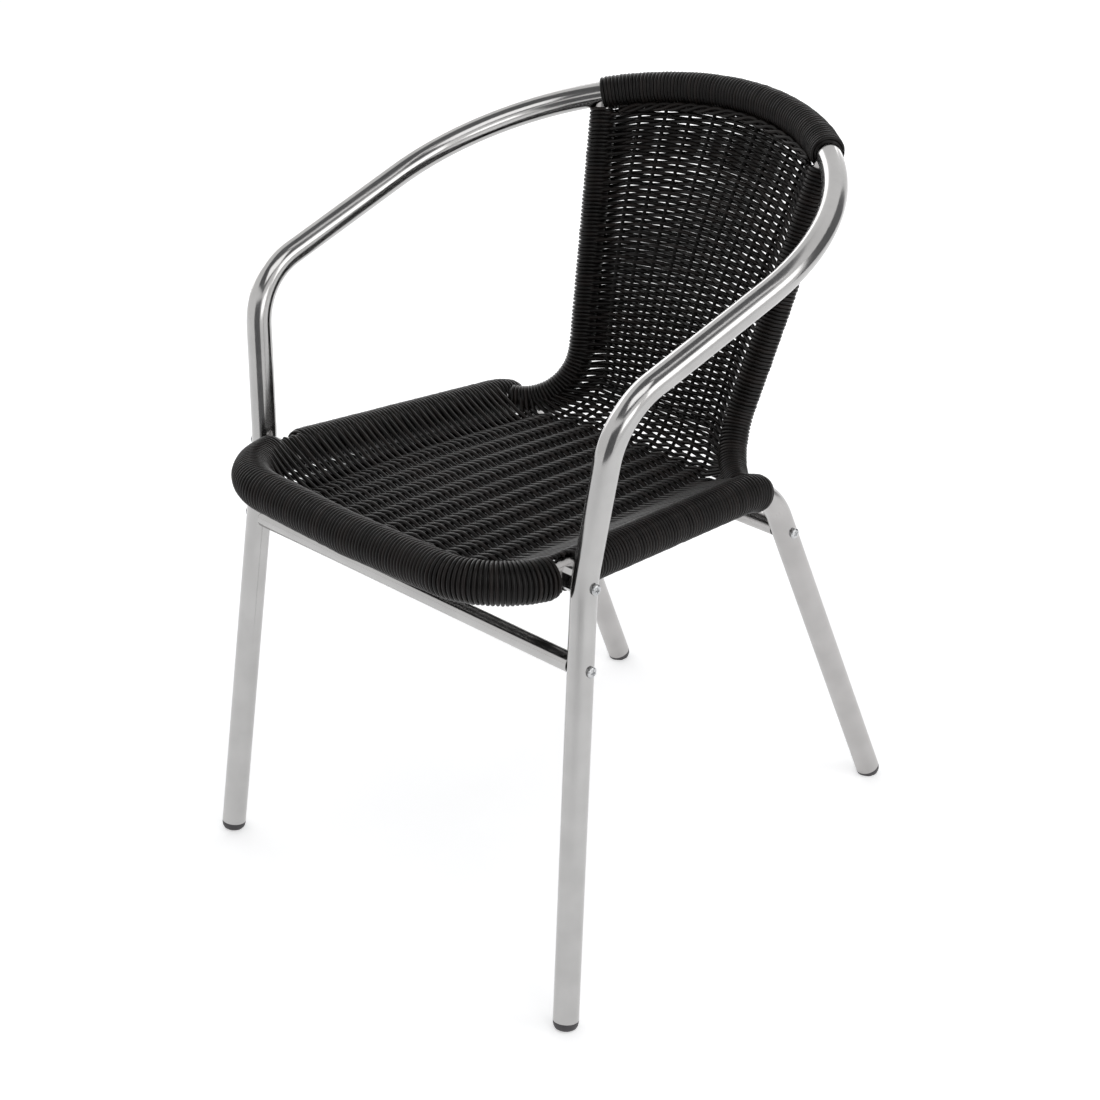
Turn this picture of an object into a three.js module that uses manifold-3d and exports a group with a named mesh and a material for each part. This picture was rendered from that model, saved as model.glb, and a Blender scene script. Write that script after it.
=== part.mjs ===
// Cafe armchair: two bent aluminium tubes bolted together, with a woven cane seat and back.
// Millimetres, +Z up, the sitter faces -Y, the floor is z = 0 and x = 0 is the plane of symmetry.
// "Right" is the +X side.
import * as THREE from "three";
import { mergeVertices } from "three/addons/utils/BufferGeometryUtils.js";
import Module from "manifold-3d";

// Gaps and facets
const fitGap = 0.35; // between pieces that touch
const overrun = 2; // how far a cutting tool passes the face that it cuts
const arcStep = THREE.MathUtils.degToRad(14); // turn of a bend between two rings
const chordLimit = 60; // longest step along a wide bend
const roundSides = 12;
const boreSides = 8;
const smallSides = 10;

// Main tube: both front legs, both arms and the top rail
const mainTube = { radius: 12.5, wall: 1.5 };
const frontFoot = { x: 250.8, y: -276.8 };
const waist = { y: -200.2, z: 436.9, bend: 150 };
const armCorner = { x: 245.1, y: -173.2, bend: 72.7 };
const hoop = { radius: 248.8, backY: 271.6, topZ: 712.7, fall: 0.26, stations: 8 };
const hoopSweep = THREE.MathUtils.degToRad(91.1); // from the middle of the top rail to the arm

// Seat tube: both rear legs, both side rails and the front rail
const rearFoot = { x: 186.9, y: 251.3 };
const rearCorner = { x: 171.9, y: 106.3, z: 398.5, bend: 72 };
const frontCorner = { x: 199, y: -277, z: 443, bend: 74 };
const frontMiddle = { y: -281, z: 440 };

// Back posts: each leaves the side rail at its rear bend, turns up at a corner and leans out to the top rail.
const postTube = { radius: 9.5, wall: 1.5 };
const postFront = { x: 172, y: 69.4, z: 404.2 };
const postCorner = { x: 102, y: 116.6, z: 396, bend: 62.8 };
const postBow = { out: 1.3, back: 1.8, bend: 940 }; // halfway up
const postAngle = 0.64; // where the post meets the top rail, in radians from its middle

// Stretchers, with their screws
const stretcherTube = { radius: 9.5, wall: 1.5 };
const frontStretcherZ = 357;
const rearStretcherZ = 340.5;
const insert = { length: 24 };
const screw = {
  shank: 2.9,
  hole: 3.3,
  head: 5.3,
  headHeight: 2.9,
  rim: 1.1,
  crown: 3.3,
  slotWidth: 1.1,
  slotLength: 5.6,
  slotDepth: 1.4,
  grip: 26, // from under the head, through the leg, to the insert
  seatLength: 44,
};
const headSeat = 0.8; // from a tube's outermost line to a head or flange on it
const spacer = { radius: 10.5, bore: 6.2, length: 5.53 }; // its length is what parts the leg from the rail
const rivetNut = { flange: 5.6, thickness: 0.9, body: 4.5, length: 15 };

// Foot plugs
const plug = {
  stem: 9.6,
  stemLength: 16,
  rim: 12.3,
  rimHeight: 2.5,
  rimLow: 3,
  side: 10.6,
  tread: 7,
  height: 9.5,
  worn: 1.2,
  block: 60, // side of the block that stands for the floor
};

// Cane: wound on the tubes. A turn here stands for a few turns of the real cane.
const turnPitch = 20;
const ridge = { height: 1.5, lead: 1.4, tuck: 0.35 };
// A winding's depth is from the tube to the outside of the cane.
const topWinding = { depth: 4.9, halfAngle: 0.657 };
const frontWinding = { depth: 8, bare: 17 };
const sideWinding = { depth: 6.7, tailDepth: 4.1, tailLength: 62, rearBare: 8, bare: 14 };
const postWinding = { depth: 4.8, front: 24, top: 22 };

// Stakes and the cane woven over them. A place counts stakes from the middle one.
const stake = { radius: 2, sides: 6 };
const longStakes = 4; // on each side of the middle one, from the front rail to the top rail
const seatStakes = 5; // on each side of the middle one, in the seat
const shortStakeEnd = { x: 126.4, y: 80.5, z: 396 };
const pitch = { front: 27.1, seat: 27.8, knee: 25 };
// From the place past the last long stake to the post: at the corner, halfway up and at the top rail
const cornerGap = 9.5;
const middleGap = 12.7;
const railGap = 12;
const seatLow = { frontY: -281, frontZ: 427.5, y: -75, z: 411.5, bend: 900 };
// The stakes turn up in two bends, and draw together between them.
const seatKnee = { y: 97, z: 394.5, bend: 58 };
const backFoot = { y: 131.4, z: 418.6, bend: 58 };
const backPanel = { depth: 3.7, bend: 900 }; // how far its middle lies behind the posts' widest places
// The weave's faces lie this far from its middle. A row here stands for a few rows of the real cane.
const weave = { over: 5.8, under: 4.3, valley: 1.4, bore: 3.4, edgeLift: 8, rowPitch: 48 };
const seatEdgeShare = 6.3; // where the seat's weave meets the side rails, in stake spacings
const backEdgeShare = 5.25; // where the back's weave meets the posts, in stake spacings

const wasm = await Module();
wasm.setup();

const point = (x, y, z) => new THREE.Vector3(x, y, z);
const mirrored = (points) => points.map((p) => point(-p.x, p.y, p.z));

// A line through corners, each inner corner rounded by its own radius, as far as its straights allow.
function rounded(corners, radii, counts = []) {
  const line = [corners[0].clone()];
  let taken = 0; // of the straight before a corner, by the bend before it
  corners.slice(1, -1).forEach((corner, i) => {
    const back = corners[i].clone().sub(corner).normalize();
    const next = corners[i + 2].clone().sub(corner).normalize();
    const opening = back.angleTo(next);
    const turn = Math.PI - opening;
    const before = corner.distanceTo(corners[i]) - taken;
    const room = Math.min(before, corner.distanceTo(corners[i + 2])) - fitGap;
    const reach = Math.min(radii[i] / Math.tan(opening / 2), room);
    const radius = reach * Math.tan(opening / 2);
    taken = reach;
    const start = corner.clone().addScaledVector(back, reach);
    const middle = back.clone().add(next).normalize();
    const centre = corner.clone().addScaledVector(middle, radius / Math.sin(opening / 2));
    const outward = start.clone().sub(centre).normalize();
    const steps = counts[i] ?? Math.ceil(Math.max(turn / arcStep, (turn * radius) / chordLimit));
    for (let k = 0; k <= steps; k++) {
      const angle = (turn * k) / steps;
      line.push(
        centre
          .clone()
          .addScaledVector(outward, radius * Math.cos(angle))
          .addScaledVector(back, -radius * Math.sin(angle)),
      );
    }
  });
  line.push(corners.at(-1).clone());
  return line;
}

// A curve whose evenly spaced steps are the given points themselves.
class StationCurve extends THREE.Curve {
  constructor(points) {
    super();
    this.points = points;
  }

  getPoint(t, target = new THREE.Vector3()) {
    const place = t * (this.points.length - 1);
    const i = Math.min(Math.floor(place), this.points.length - 2);
    return target.lerpVectors(this.points[i], this.points[i + 1], place - i);
  }

  getUtoTmapping(u) {
    return u;
  }
}

// The distance of each of a line's points from its start
function distancesOf(line) {
  const distances = [0];
  line.slice(1).forEach((p, i) => distances.push(distances[i] + p.distanceTo(line[i])));
  return distances;
}

const lengthOf = (line) => distancesOf(line).at(-1);

// The step of a line that a distance falls in
function stepAt(starts, distance) {
  return Math.max(0, starts.slice(0, -1).findLastIndex((start) => start <= distance));
}

// The part of a line between two distances from its start
function stretch(line, from, to) {
  const starts = distancesOf(line);
  const at = (distance) => {
    const i = stepAt(starts, distance);
    return line[i].clone().lerp(line[i + 1], (distance - starts[i]) / (starts[i + 1] - starts[i]));
  };
  const inner = line.filter((_, i) => starts[i] > from + fitGap && starts[i] < to - fitGap);
  return [at(from), ...inner.map((p) => p.clone()), at(to)];
}

// The distance along a line to its point nearest to a place.
function distanceTo(line, place) {
  let done = 0;
  let best = { gap: Infinity, distance: 0 };
  line.slice(1).forEach((end, i) => {
    const nearest = new THREE.Line3(line[i], end).closestPointToPoint(place, true, new THREE.Vector3());
    const gap = nearest.distanceTo(place);
    if (gap < best.gap) best = { gap, distance: done + nearest.distanceTo(line[i]) };
    done += end.distanceTo(line[i]);
  });
  return best.distance;
}

const ring = (radius, sides) =>
  Array.from({ length: sides }, (_, i) => {
    const angle = (2 * Math.PI * i) / sides;
    return new THREE.Vector2(radius * Math.cos(angle), radius * Math.sin(angle));
  });

// A tube along a line, solid where no bore is given.
function tube(line, radius, bore = 0, sides = roundSides) {
  const section = new THREE.Shape(ring(radius, sides));
  if (bore > 0) section.holes.push(new THREE.Path(ring(bore, boreSides)));
  return new THREE.ExtrudeGeometry(section, {
    steps: line.length - 1,
    bevelEnabled: false,
    extrudePath: new StationCurve(line),
  });
}

// A profile of (radius, height) pairs turned round an axis from a place.
function turned(profile, place, axis, sides = smallSides) {
  const points = profile.map(([radius, height]) => new THREE.Vector2(radius, height));
  const geometry = new THREE.LatheGeometry(points, sides);
  const turn = new THREE.Quaternion().setFromUnitVectors(point(0, 1, 0), axis.clone().normalize());
  return geometry.applyQuaternion(turn).translate(place.x, place.y, place.z);
}

function solid(geometry) {
  const bare = geometry.index ? geometry.toNonIndexed() : geometry.clone();
  bare.deleteAttribute("normal");
  bare.deleteAttribute("uv");
  const merged = mergeVertices(bare, 1e-4);
  const vertProperties = merged.attributes.position.array;
  const triVerts = new Uint32Array(merged.index.array);
  return new wasm.Manifold(new wasm.Mesh({ numProp: 3, vertProperties, triVerts }));
}

// The largest body that is left of a geometry when all of the tools are taken away
function cut(geometry, tools) {
  const whole = tools.reduce((body, tool) => body.subtract(solid(tool)), solid(geometry));
  const left = whole.decompose().sort((one, other) => other.volume() - one.volume())[0].getMesh();
  const result = new THREE.BufferGeometry();
  result.setAttribute("position", new THREE.BufferAttribute(left.vertProperties, 3));
  result.setIndex(new THREE.BufferAttribute(left.triVerts, 1));
  const faceted = result.toNonIndexed();
  faceted.computeVertexNormals();
  return faceted;
}

const rod = (from, to, radius, sides = smallSides) => tube([from, to], radius, 0, sides);

// Frames along a line: a place, and two directions across the line.
function framer(line) {
  const curve = new StationCurve(line);
  const frames = curve.computeFrenetFrames(line.length - 1, false);
  const starts = distancesOf(line);
  return (distance) => {
    const i = stepAt(starts, distance);
    const share = (distance - starts[i]) / (starts[i + 1] - starts[i]);
    return {
      place: line[i].clone().lerp(line[i + 1], share),
      normal: frames.normals[i].clone().lerp(frames.normals[i + 1], share).normalize(),
      binormal: frames.binormals[i].clone().lerp(frames.binormals[i + 1], share).normalize(),
    };
  };
}

// Cane wound on a tube: one sleeve whose outside is a single helical ridge, with the tube's bore.
function winding(line, tubeRadius, depthAt) {
  const sides = boreSides;
  const bore = (tubeRadius + fitGap) / Math.cos(Math.PI / sides);
  const crestAt = (distance) => tubeRadius + depthAt(distance);
  const length = lengthOf(line);
  const turns = Math.round((length - 2 * ridge.lead) / turnPitch);
  const lift = (length - 2 * ridge.lead) / turns;
  const frame = framer(line);
  const vertices = [];
  const add = (distance, side, radius) => {
    const { place, normal, binormal } = frame(distance);
    const angle = (2 * Math.PI * side) / sides;
    place.addScaledVector(normal, radius * Math.cos(angle));
    place.addScaledVector(binormal, radius * Math.sin(angle));
    return vertices.push(place) - 1;
  };
  // The first turn rises from under the foot of the ridge, and the last one sinks back.
  const rise = ridge.height + ridge.tuck;
  const last = turns * sides;
  const crest = [];
  const trough = [];
  for (let m = 0; m <= last; m++) {
    const distance = ridge.lead + (lift * m) / sides;
    const share = Math.min(1, m / sides, (last - m) / sides);
    crest.push(add(distance, m, crestAt(distance) - rise * (1 - share)));
    const halfway = distance + lift / 2;
    if (m <= last - sides) trough.push(add(halfway, m, crestAt(halfway) - ridge.height));
  }
  const ringAt = (distance, radius) => Array.from({ length: sides }, (_, i) => add(distance, i, radius));
  const start = ringAt(0, crestAt(0) - rise);
  const end = ringAt(length, crestAt(length) - rise);
  const bores = distancesOf(line).map((distance) => ringAt(distance, bore));

  const faces = [];
  const quad = (a, b, c, d) => faces.push([a, b, c], [a, c, d]);
  const next = (i) => (i + 1) % sides;
  for (let m = 0; m < last - sides; m++) {
    quad(crest[m], crest[m + 1], trough[m + 1], trough[m]);
    quad(trough[m], trough[m + 1], crest[m + 1 + sides], crest[m + sides]);
  }
  for (let i = 0; i < sides; i++) {
    quad(start[i], start[next(i)], crest[i + 1], crest[i]);
    quad(crest[last - sides + i], crest[last - sides + i + 1], end[next(i)], end[i]);
    quad(start[next(i)], start[i], bores[0][i], bores[0][next(i)]);
    quad(end[i], end[next(i)], bores.at(-1)[next(i)], bores.at(-1)[i]);
    for (let k = 0; k < bores.length - 1; k++) {
      quad(bores[k][next(i)], bores[k][i], bores[k + 1][i], bores[k + 1][next(i)]);
    }
  }
  faces.push([start[0], crest[0], trough[0]], [start[0], trough[0], crest[sides]]);
  faces.push([end[0], trough.at(-1), crest[last - sides]], [end[0], crest[last], trough.at(-1)]);

  const geometry = new THREE.BufferGeometry();
  const positions = faces.flat().flatMap((i) => vertices[i].toArray());
  geometry.setAttribute("position", new THREE.Float32BufferAttribute(positions, 3));
  geometry.computeVertexNormals();
  return geometry;
}

// The routes of the tubes
const onHoop = (angle) => {
  const y = hoop.backY - hoop.radius * (1 - Math.cos(angle));
  return point(hoop.radius * Math.sin(angle), y, hoop.topZ + (y - hoop.backY) * hoop.fall);
};

// A place on the middle of the right side rail
const railAt = (y) => {
  const share = (y - rearCorner.y) / (frontCorner.y - rearCorner.y);
  return point(
    rearCorner.x + (frontCorner.x - rearCorner.x) * share,
    y,
    rearCorner.z + (frontCorner.z - rearCorner.z) * share,
  );
};

// The waist of the front leg lies outside the side rail, with the spacer between.
const waistX = railAt(waist.y).x + mainTube.radius + spacer.length + mainTube.radius;
const waistAt = point(waistX, waist.y, waist.z);

function mainLine() {
  const armEnd = onHoop(hoopSweep);
  const cornerZ = hoop.topZ + (armCorner.y - hoop.backY) * hoop.fall;
  const right = rounded(
    [
      point(frontFoot.x, frontFoot.y, 0),
      waistAt,
      point(armCorner.x, armCorner.y, cornerZ),
      armEnd,
    ],
    [waist.bend, armCorner.bend],
  );
  for (let i = 1; i < hoop.stations; i++) right.push(onHoop(hoopSweep * (1 - i / hoop.stations)));
  return [...right, onHoop(0), ...mirrored(right).reverse()];
}

function seatLine() {
  const right = rounded(
    [
      point(rearFoot.x, rearFoot.y, 0),
      point(rearCorner.x, rearCorner.y, rearCorner.z),
      point(frontCorner.x, frontCorner.y, frontCorner.z),
      point(0, frontMiddle.y, frontMiddle.z),
    ],
    [rearCorner.bend, frontCorner.bend],
  );
  return [...right, ...mirrored(right).reverse().slice(1)];
}

const postTop = onHoop(postAngle);
const postMiddle = point(
  (postCorner.x + postTop.x) / 2 + postBow.out,
  (postCorner.y + postTop.y) / 2 + postBow.back,
  (postCorner.z + postTop.z) / 2,
);

function postLine() {
  return rounded(
    [
      point(postFront.x, postFront.y, postFront.z),
      point(postCorner.x, postCorner.y, postCorner.z),
      postMiddle,
      postTop,
    ],
    [postCorner.bend, postBow.bend],
  );
}

// The line of a stake, or of the weave between two stakes: seat, bend and back
const bendSteps = [2, 3, 3, 1];
const seamStation = 5; // the station in the bend where the seat's weave ends and the back's begins

function stakeRoute(place) {
  const share = place / (longStakes + 1);
  const inward = 1 - share ** 2;
  return rounded(
    [
      point(place * pitch.front, seatLow.frontY, seatLow.frontZ),
      point(place * pitch.seat, seatLow.y, seatLow.z),
      point(place * pitch.knee, seatKnee.y, seatKnee.z),
      point(share * (postCorner.x - cornerGap), backFoot.y, backFoot.z),
      point(share * (postMiddle.x - middleGap), postMiddle.y + backPanel.depth * inward, postMiddle.z),
      onHoop(share * (postAngle - railGap / hoop.radius)),
    ],
    [seatLow.bend, seatKnee.bend, backFoot.bend, backPanel.bend],
    bendSteps,
  );
}

// A point between two stations of a line
function between(line, index) {
  const i = Math.min(Math.floor(index), line.length - 2);
  return line[i].clone().lerp(line[i + 1], index - i);
}

// The legs' centre lines at a height
function legAt(foot, knee, z) {
  const share = z / knee.z;
  return point(foot.x + (knee.x - foot.x) * share, foot.y + (knee.y - foot.y) * share, z);
}

const frontLegAt = (z) => legAt(frontFoot, waistAt, z);
const rearLegAt = (z) => legAt(rearFoot, rearCorner, z);
const outward = point(1, 0, 0);

const main = mainLine();
const seat = seatLine();
const post = postLine();

// Tubes end where the foot plugs' rims begin.
function trimmed(line) {
  const axis = line[1].clone().sub(line[0]).normalize();
  const start = plug.height - plug.worn / axis.z;
  return stretch(line, start, lengthOf(line) - start);
}

// The seat screw crosses the waist of the leg and the side rail.
const seatJoint = railAt(waist.y);
const seatScrewAt = (() => {
  const i = main.findIndex((p) => p.z > seatJoint.z);
  return main[i - 1].clone().lerp(main[i], (seatJoint.z - main[i - 1].z) / (main[i].z - main[i - 1].z));
})();
const nutAt = point(railAt(seatScrewAt.y).x, seatScrewAt.y, seatJoint.z);
const rightMain = main.slice(0, Math.floor(main.length / 2));
const rightSeat = seat.slice(0, Math.floor(seat.length / 2));
const frontScrewAt = frontLegAt(frontStretcherZ);
const rearScrewAt = rearLegAt(rearStretcherZ);

const flip = (p) => point(-p.x, p.y, p.z);
const across = (at, from, to, radius) => rod(point(from, at.y, at.z), point(to, at.y, at.z), radius);

const legTool = (line) => tube(line, mainTube.radius + fitGap);
const postTool = (line) => tube(line, postTube.radius + fitGap, 0, smallSides);

const bothPosts = () => [post, mirrored(post)].map(postTool);

function mainFrame() {
  const body = tube(trimmed(main), mainTube.radius, mainTube.radius - mainTube.wall);
  const reach = mainTube.radius + overrun;
  const holes = [seatScrewAt, frontScrewAt].flatMap((at) =>
    [at, flip(at)].map((p) => across(p, p.x - reach, p.x + reach, screw.hole)),
  );
  return cut(body, holes);
}

function seatFrame() {
  const body = tube(trimmed(seat), mainTube.radius, mainTube.radius - mainTube.wall);
  const reach = mainTube.radius + overrun;
  const legHoles = [rearScrewAt, flip(rearScrewAt)].map((p) =>
    across(p, p.x - reach, p.x + reach, screw.hole),
  );
  const nutHoles = [
    across(nutAt, nutAt.x, nutAt.x + reach, rivetNut.body + fitGap),
    across(flip(nutAt), -nutAt.x - reach, -nutAt.x, rivetNut.body + fitGap),
  ];
  return cut(body, [...legHoles, ...nutHoles]);
}

// A stretcher between two legs, its ends shaped to the legs
function stretcher(at, legs) {
  const bore = stretcherTube.radius - stretcherTube.wall;
  return cut(tube([flip(at), at], stretcherTube.radius, bore), legs);
}

// The threaded insert in a stretcher's right end
function stretcherInsert(at, leg) {
  const radius = (stretcherTube.radius - stretcherTube.wall) * Math.cos(Math.PI / boreSides) - fitGap;
  const body = across(at, at.x - mainTube.radius - insert.length, at.x, radius);
  return cut(body, [leg, across(at, 0, at.x + overrun, screw.hole)]);
}

// A pan-head screw with a cross recess: the head is on the right leg's outside, the tip is inboard.
function panScrew(at, length) {
  const face = at.x + mainTube.radius + headSeat;
  const body = turned(
    [
      [0, -length],
      [screw.shank, -length],
      [screw.shank, 0],
      [screw.head, 0],
      [screw.head, screw.rim],
      [screw.crown, screw.headHeight],
      [0, screw.headHeight],
    ],
    point(face, at.y, at.z),
    outward,
  );
  const slot = (alongY, alongZ) =>
    new THREE.BoxGeometry(screw.slotDepth + screw.slotDepth, alongY, alongZ).translate(
      face + screw.headHeight,
      at.y,
      at.z,
    );
  return cut(body, [slot(screw.slotLength, screw.slotWidth), slot(screw.slotWidth, screw.slotLength)]);
}

// A ring between the leg and the side rail, with a saddle on each face
function seatSpacer() {
  const body = across(seatScrewAt, nutAt.x, seatScrewAt.x, spacer.radius);
  const bore = across(seatScrewAt, nutAt.x - overrun, seatScrewAt.x + overrun, spacer.bore);
  return cut(body, [legTool(rightMain), legTool(rightSeat), bore]);
}

// The threaded rivet nut in the side rail's outer wall
function seatNut() {
  const profile = [
    [screw.hole, -rivetNut.length],
    [rivetNut.body, -rivetNut.length],
    [rivetNut.body, 0],
    [rivetNut.flange, 0],
    [rivetNut.flange, rivetNut.thickness],
    [screw.hole, rivetNut.thickness],
    [screw.hole, -rivetNut.length],
  ];
  return turned(profile, point(nutAt.x + mainTube.radius + headSeat, nutAt.y, nutAt.z), outward);
}

// A plug pushed into a leg's end, worn flat where it stands
function footPlug(line) {
  const foot = line[0];
  const axis = line[1].clone().sub(foot).normalize();
  const body = turned(
    [
      [0, 0],
      [plug.tread, 0],
      [plug.side, plug.rimLow],
      [plug.rim, plug.height - plug.rimHeight],
      [plug.rim, plug.height - fitGap],
      [plug.stem, plug.height - fitGap],
      [plug.stem, plug.height + plug.stemLength],
      [0, plug.height + plug.stemLength],
    ],
    foot.clone().addScaledVector(axis, -plug.worn / axis.z),
    axis,
    roundSides,
  );
  const block = new THREE.BoxGeometry(plug.block, plug.block, plug.block);
  return cut(body, [block.translate(foot.x, foot.y, -plug.block / 2)]);
}

// A back post, shaped to the top rail at its upper end and to the side rail at its front end
function backPost() {
  const body = tube(post, postTube.radius, postTube.radius - postTube.wall, smallSides);
  return cut(body, [legTool(main), legTool(rightSeat)]);
}

// Lines under the windings
const middleOfTop = lengthOf(main) / 2;
const halfTop = topWinding.halfAngle * hoop.radius;
const topLine = stretch(main, middleOfTop - halfTop, middleOfTop + halfTop);
const jointDistance = distanceTo(seat, seatJoint);
const frontStart = jointDistance + frontWinding.bare;
const frontLine = stretch(seat, frontStart, lengthOf(seat) - frontStart);
const sideStart = distanceTo(seat, point(rearCorner.x, rearCorner.y, rearCorner.z)) + sideWinding.rearBare;
const sideLine = stretch(seat, sideStart, jointDistance - sideWinding.bare);
const postLineUnder = stretch(post, postWinding.front, lengthOf(post) - postWinding.top);

const envelope = (line, crest) => tube(line, (crest + fitGap) / Math.cos(Math.PI / roundSides));
const envelopes = {
  top: envelope(topLine, mainTube.radius + topWinding.depth),
  front: envelope(frontLine, mainTube.radius + frontWinding.depth),
  sides: [sideLine, mirrored(sideLine)].map((line) => envelope(line, mainTube.radius + sideWinding.depth)),
  posts: [postLineUnder, mirrored(postLineUnder)].map((line) =>
    envelope(line, postTube.radius + postWinding.depth),
  ),
};

function topRailWinding() {
  const body = winding(topLine, mainTube.radius, () => topWinding.depth);
  return cut(body, bothPosts());
}

const frontRailWinding = () => winding(frontLine, mainTube.radius, () => frontWinding.depth);

function sideRailWinding() {
  const { depth, tailDepth, tailLength } = sideWinding;
  const depthAt = (distance) => tailDepth + (depth - tailDepth) * Math.min(1, distance / tailLength);
  return cut(winding(sideLine, mainTube.radius, depthAt), [postTool(post), envelopes.posts[0]]);
}

const postWindingBody = () => winding(postLineUnder, postTube.radius, () => postWinding.depth);

// A stake: the outermost ones stop at the back of the seat.
function stakeAt(place) {
  const whole = stakeRoute(place);
  const end = distanceTo(whole, point(Math.sign(place) * shortStakeEnd.x, shortStakeEnd.y, shortStakeEnd.z));
  const line = Math.abs(place) > longStakes ? stretch(whole, 0, end) : whole;
  return cut(tube(line, stake.radius, 0, stake.sides), [envelopes.top, envelopes.front]);
}

// The outline of a woven panel's section: a ridge over each stake, and a bore round it
function panelSection(stakes, edge) {
  const places = [];
  for (let i = -stakes; i <= stakes; i++) places.push(i);
  const upper = [new THREE.Vector2(-edge, weave.valley)];
  places.forEach((i) => {
    if (i > -stakes) upper.push(new THREE.Vector2(i - 0.5, weave.valley));
    upper.push(new THREE.Vector2(i, weave.over));
  });
  upper.push(new THREE.Vector2(edge, weave.valley));
  const lower = upper.map((p) => new THREE.Vector2(p.x, -p.y)).reverse();
  const section = new THREE.Shape([...upper, ...lower]);
  const half = (weave.bore * (longStakes + 1)) / (postCorner.x - cornerGap);
  places.forEach((i) => {
    const diamond = [
      [i - half, 0],
      [i, -weave.bore],
      [i + half, 0],
      [i, weave.bore],
    ];
    section.holes.push(new THREE.Path(diamond.map(([x, y]) => new THREE.Vector2(x, y))));
  });
  return section;
}

// The stations of a panel along the stakes' lines, one for each row
function panelStations(from, to) {
  const line = stakeRoute(0);
  const stations = [from];
  for (let i = Math.floor(from); i < to; i++) {
    const start = Math.max(i, from);
    const end = Math.min(i + 1, to);
    const rows = Math.ceil(between(line, start).distanceTo(between(line, end)) / weave.rowPitch);
    for (let k = 1; k <= rows; k++) stations.push(start + ((end - start) * k) / rows);
  }
  return stations;
}

// A face of a panel over a stake is further out where its row passes on that side of the stake.
function weaveFace(place, row, drawn) {
  if (Math.abs(drawn) < weave.under) return drawn;
  const rowSide = (Math.round(place) + row) % 2 === 0 ? 1 : -1;
  const side = Math.sign(drawn);
  return side * (side === rowSide ? weave.over : weave.under);
}

// A woven panel between two stations of the stakes' lines; its edges rise by a lift.
function panel(stakes, edge, from, to, lift) {
  const stations = panelStations(from, to);
  const steps = stations.length - 1;
  const section = panelSection(stakes, edge);
  const geometry = new THREE.ExtrudeGeometry(section, { steps, depth: steps, bevelEnabled: false });
  const positions = geometry.getAttribute("position");
  const nudge = 0.25;
  for (let i = 0; i < positions.count; i++) {
    const place = positions.getX(i);
    const row = Math.round(positions.getZ(i));
    const station = stations[row];
    const line = stakeRoute(place);
    const along = between(line, station + nudge).sub(between(line, Math.max(0, station - nudge)));
    const side = between(stakeRoute(place + nudge), station).sub(between(stakeRoute(place - nudge), station));
    const down = along.cross(side).normalize();
    const rise = Math.max(0, Math.abs(place) - stakes) / (edge - stakes);
    const offset = weaveFace(place, row, positions.getY(i)) - rise * lift;
    const at = between(line, station).addScaledVector(down, offset);
    positions.setXYZ(i, at.x, at.y, at.z);
  }
  return geometry;
}

const seam = fitGap / (seatKnee.bend * arcStep);
const lastStation = bendSteps.reduce((sum, steps) => sum + steps + 1, 0) + 1;

function seatWeave() {
  const body = panel(seatStakes, seatEdgeShare, 0, seamStation - seam, weave.edgeLift);
  return cut(body, [envelopes.front, ...envelopes.sides, ...envelopes.posts, ...bothPosts()]);
}

function backWeave() {
  const body = panel(longStakes, backEdgeShare, seamStation + seam, lastStation, 0);
  return cut(body, [envelopes.top, ...envelopes.posts, ...bothPosts()]);
}

const finishes = {
  wire: { color: 0x262221, roughness: 0.6, metalness: 0 },
  satin: { color: 0xb4b3b2, roughness: 0.38, metalness: 1 },
  polished: { color: 0xc9c9c8, roughness: 0.14, metalness: 1 },
  cane: { color: 0x1f1c1b, roughness: 0.45, metalness: 0 },
  plastic: { color: 0x4a484a, roughness: 0.7, metalness: 0 },
  steel: { color: 0xb9babb, roughness: 0.25, metalness: 1 },
};

const chair = new THREE.Group();
export default chair;

function add(name, geometry, finish) {
  const mesh = new THREE.Mesh(geometry, new THREE.MeshStandardMaterial(finishes[finish]));
  mesh.name = name;
  chair.add(mesh);
  return mesh;
}

// The same piece on both sides: the left one is the right one's mirror image.
function addPair(name, geometry, finish) {
  add(`${name}_right`, geometry, finish);
  add(`${name}_left`, geometry, finish).scale.x = -1;
}

const frontLegs = [legTool(rightMain), legTool(mirrored(rightMain))];
const rearLegs = [legTool(rightSeat), legTool(mirrored(rightSeat))];
const stretcherScrewLength = screw.grip + insert.length;
add("main_frame", mainFrame(), "polished");
add("seat_frame", seatFrame(), "satin");
add("front_stretcher", stretcher(frontScrewAt, frontLegs), "polished");
add("rear_stretcher", stretcher(rearScrewAt, rearLegs), "satin");
addPair("front_stretcher_insert", stretcherInsert(frontScrewAt, frontLegs[0]), "steel");
addPair("rear_stretcher_insert", stretcherInsert(rearScrewAt, rearLegs[0]), "steel");
addPair("front_stretcher_screw", panScrew(frontScrewAt, stretcherScrewLength), "steel");
addPair("rear_stretcher_screw", panScrew(rearScrewAt, stretcherScrewLength), "steel");
addPair("seat_screw", panScrew(seatScrewAt, screw.seatLength), "steel");
addPair("seat_spacer", seatSpacer(), "polished");
addPair("seat_nut", seatNut(), "steel");
addPair("front_foot_plug", footPlug(main), "plastic");
addPair("rear_foot_plug", footPlug(seat), "plastic");
addPair("back_post", backPost(), "satin");
add("top_rail_winding", topRailWinding(), "cane");
add("front_rail_winding", frontRailWinding(), "cane");
addPair("side_rail_winding", sideRailWinding(), "cane");
addPair("back_post_winding", postWindingBody(), "cane");
for (let i = -seatStakes; i <= seatStakes; i++) add(`stake_${i + seatStakes + 1}`, stakeAt(i), "wire");
add("seat_weave", seatWeave(), "cane");
add("back_weave", backWeave(), "cane");

// The origin is on the floor, under the middle of the chair.
const box = new THREE.Box3().setFromObject(chair);
chair.position.y = -(box.min.y + box.max.y) / 2;
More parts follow.
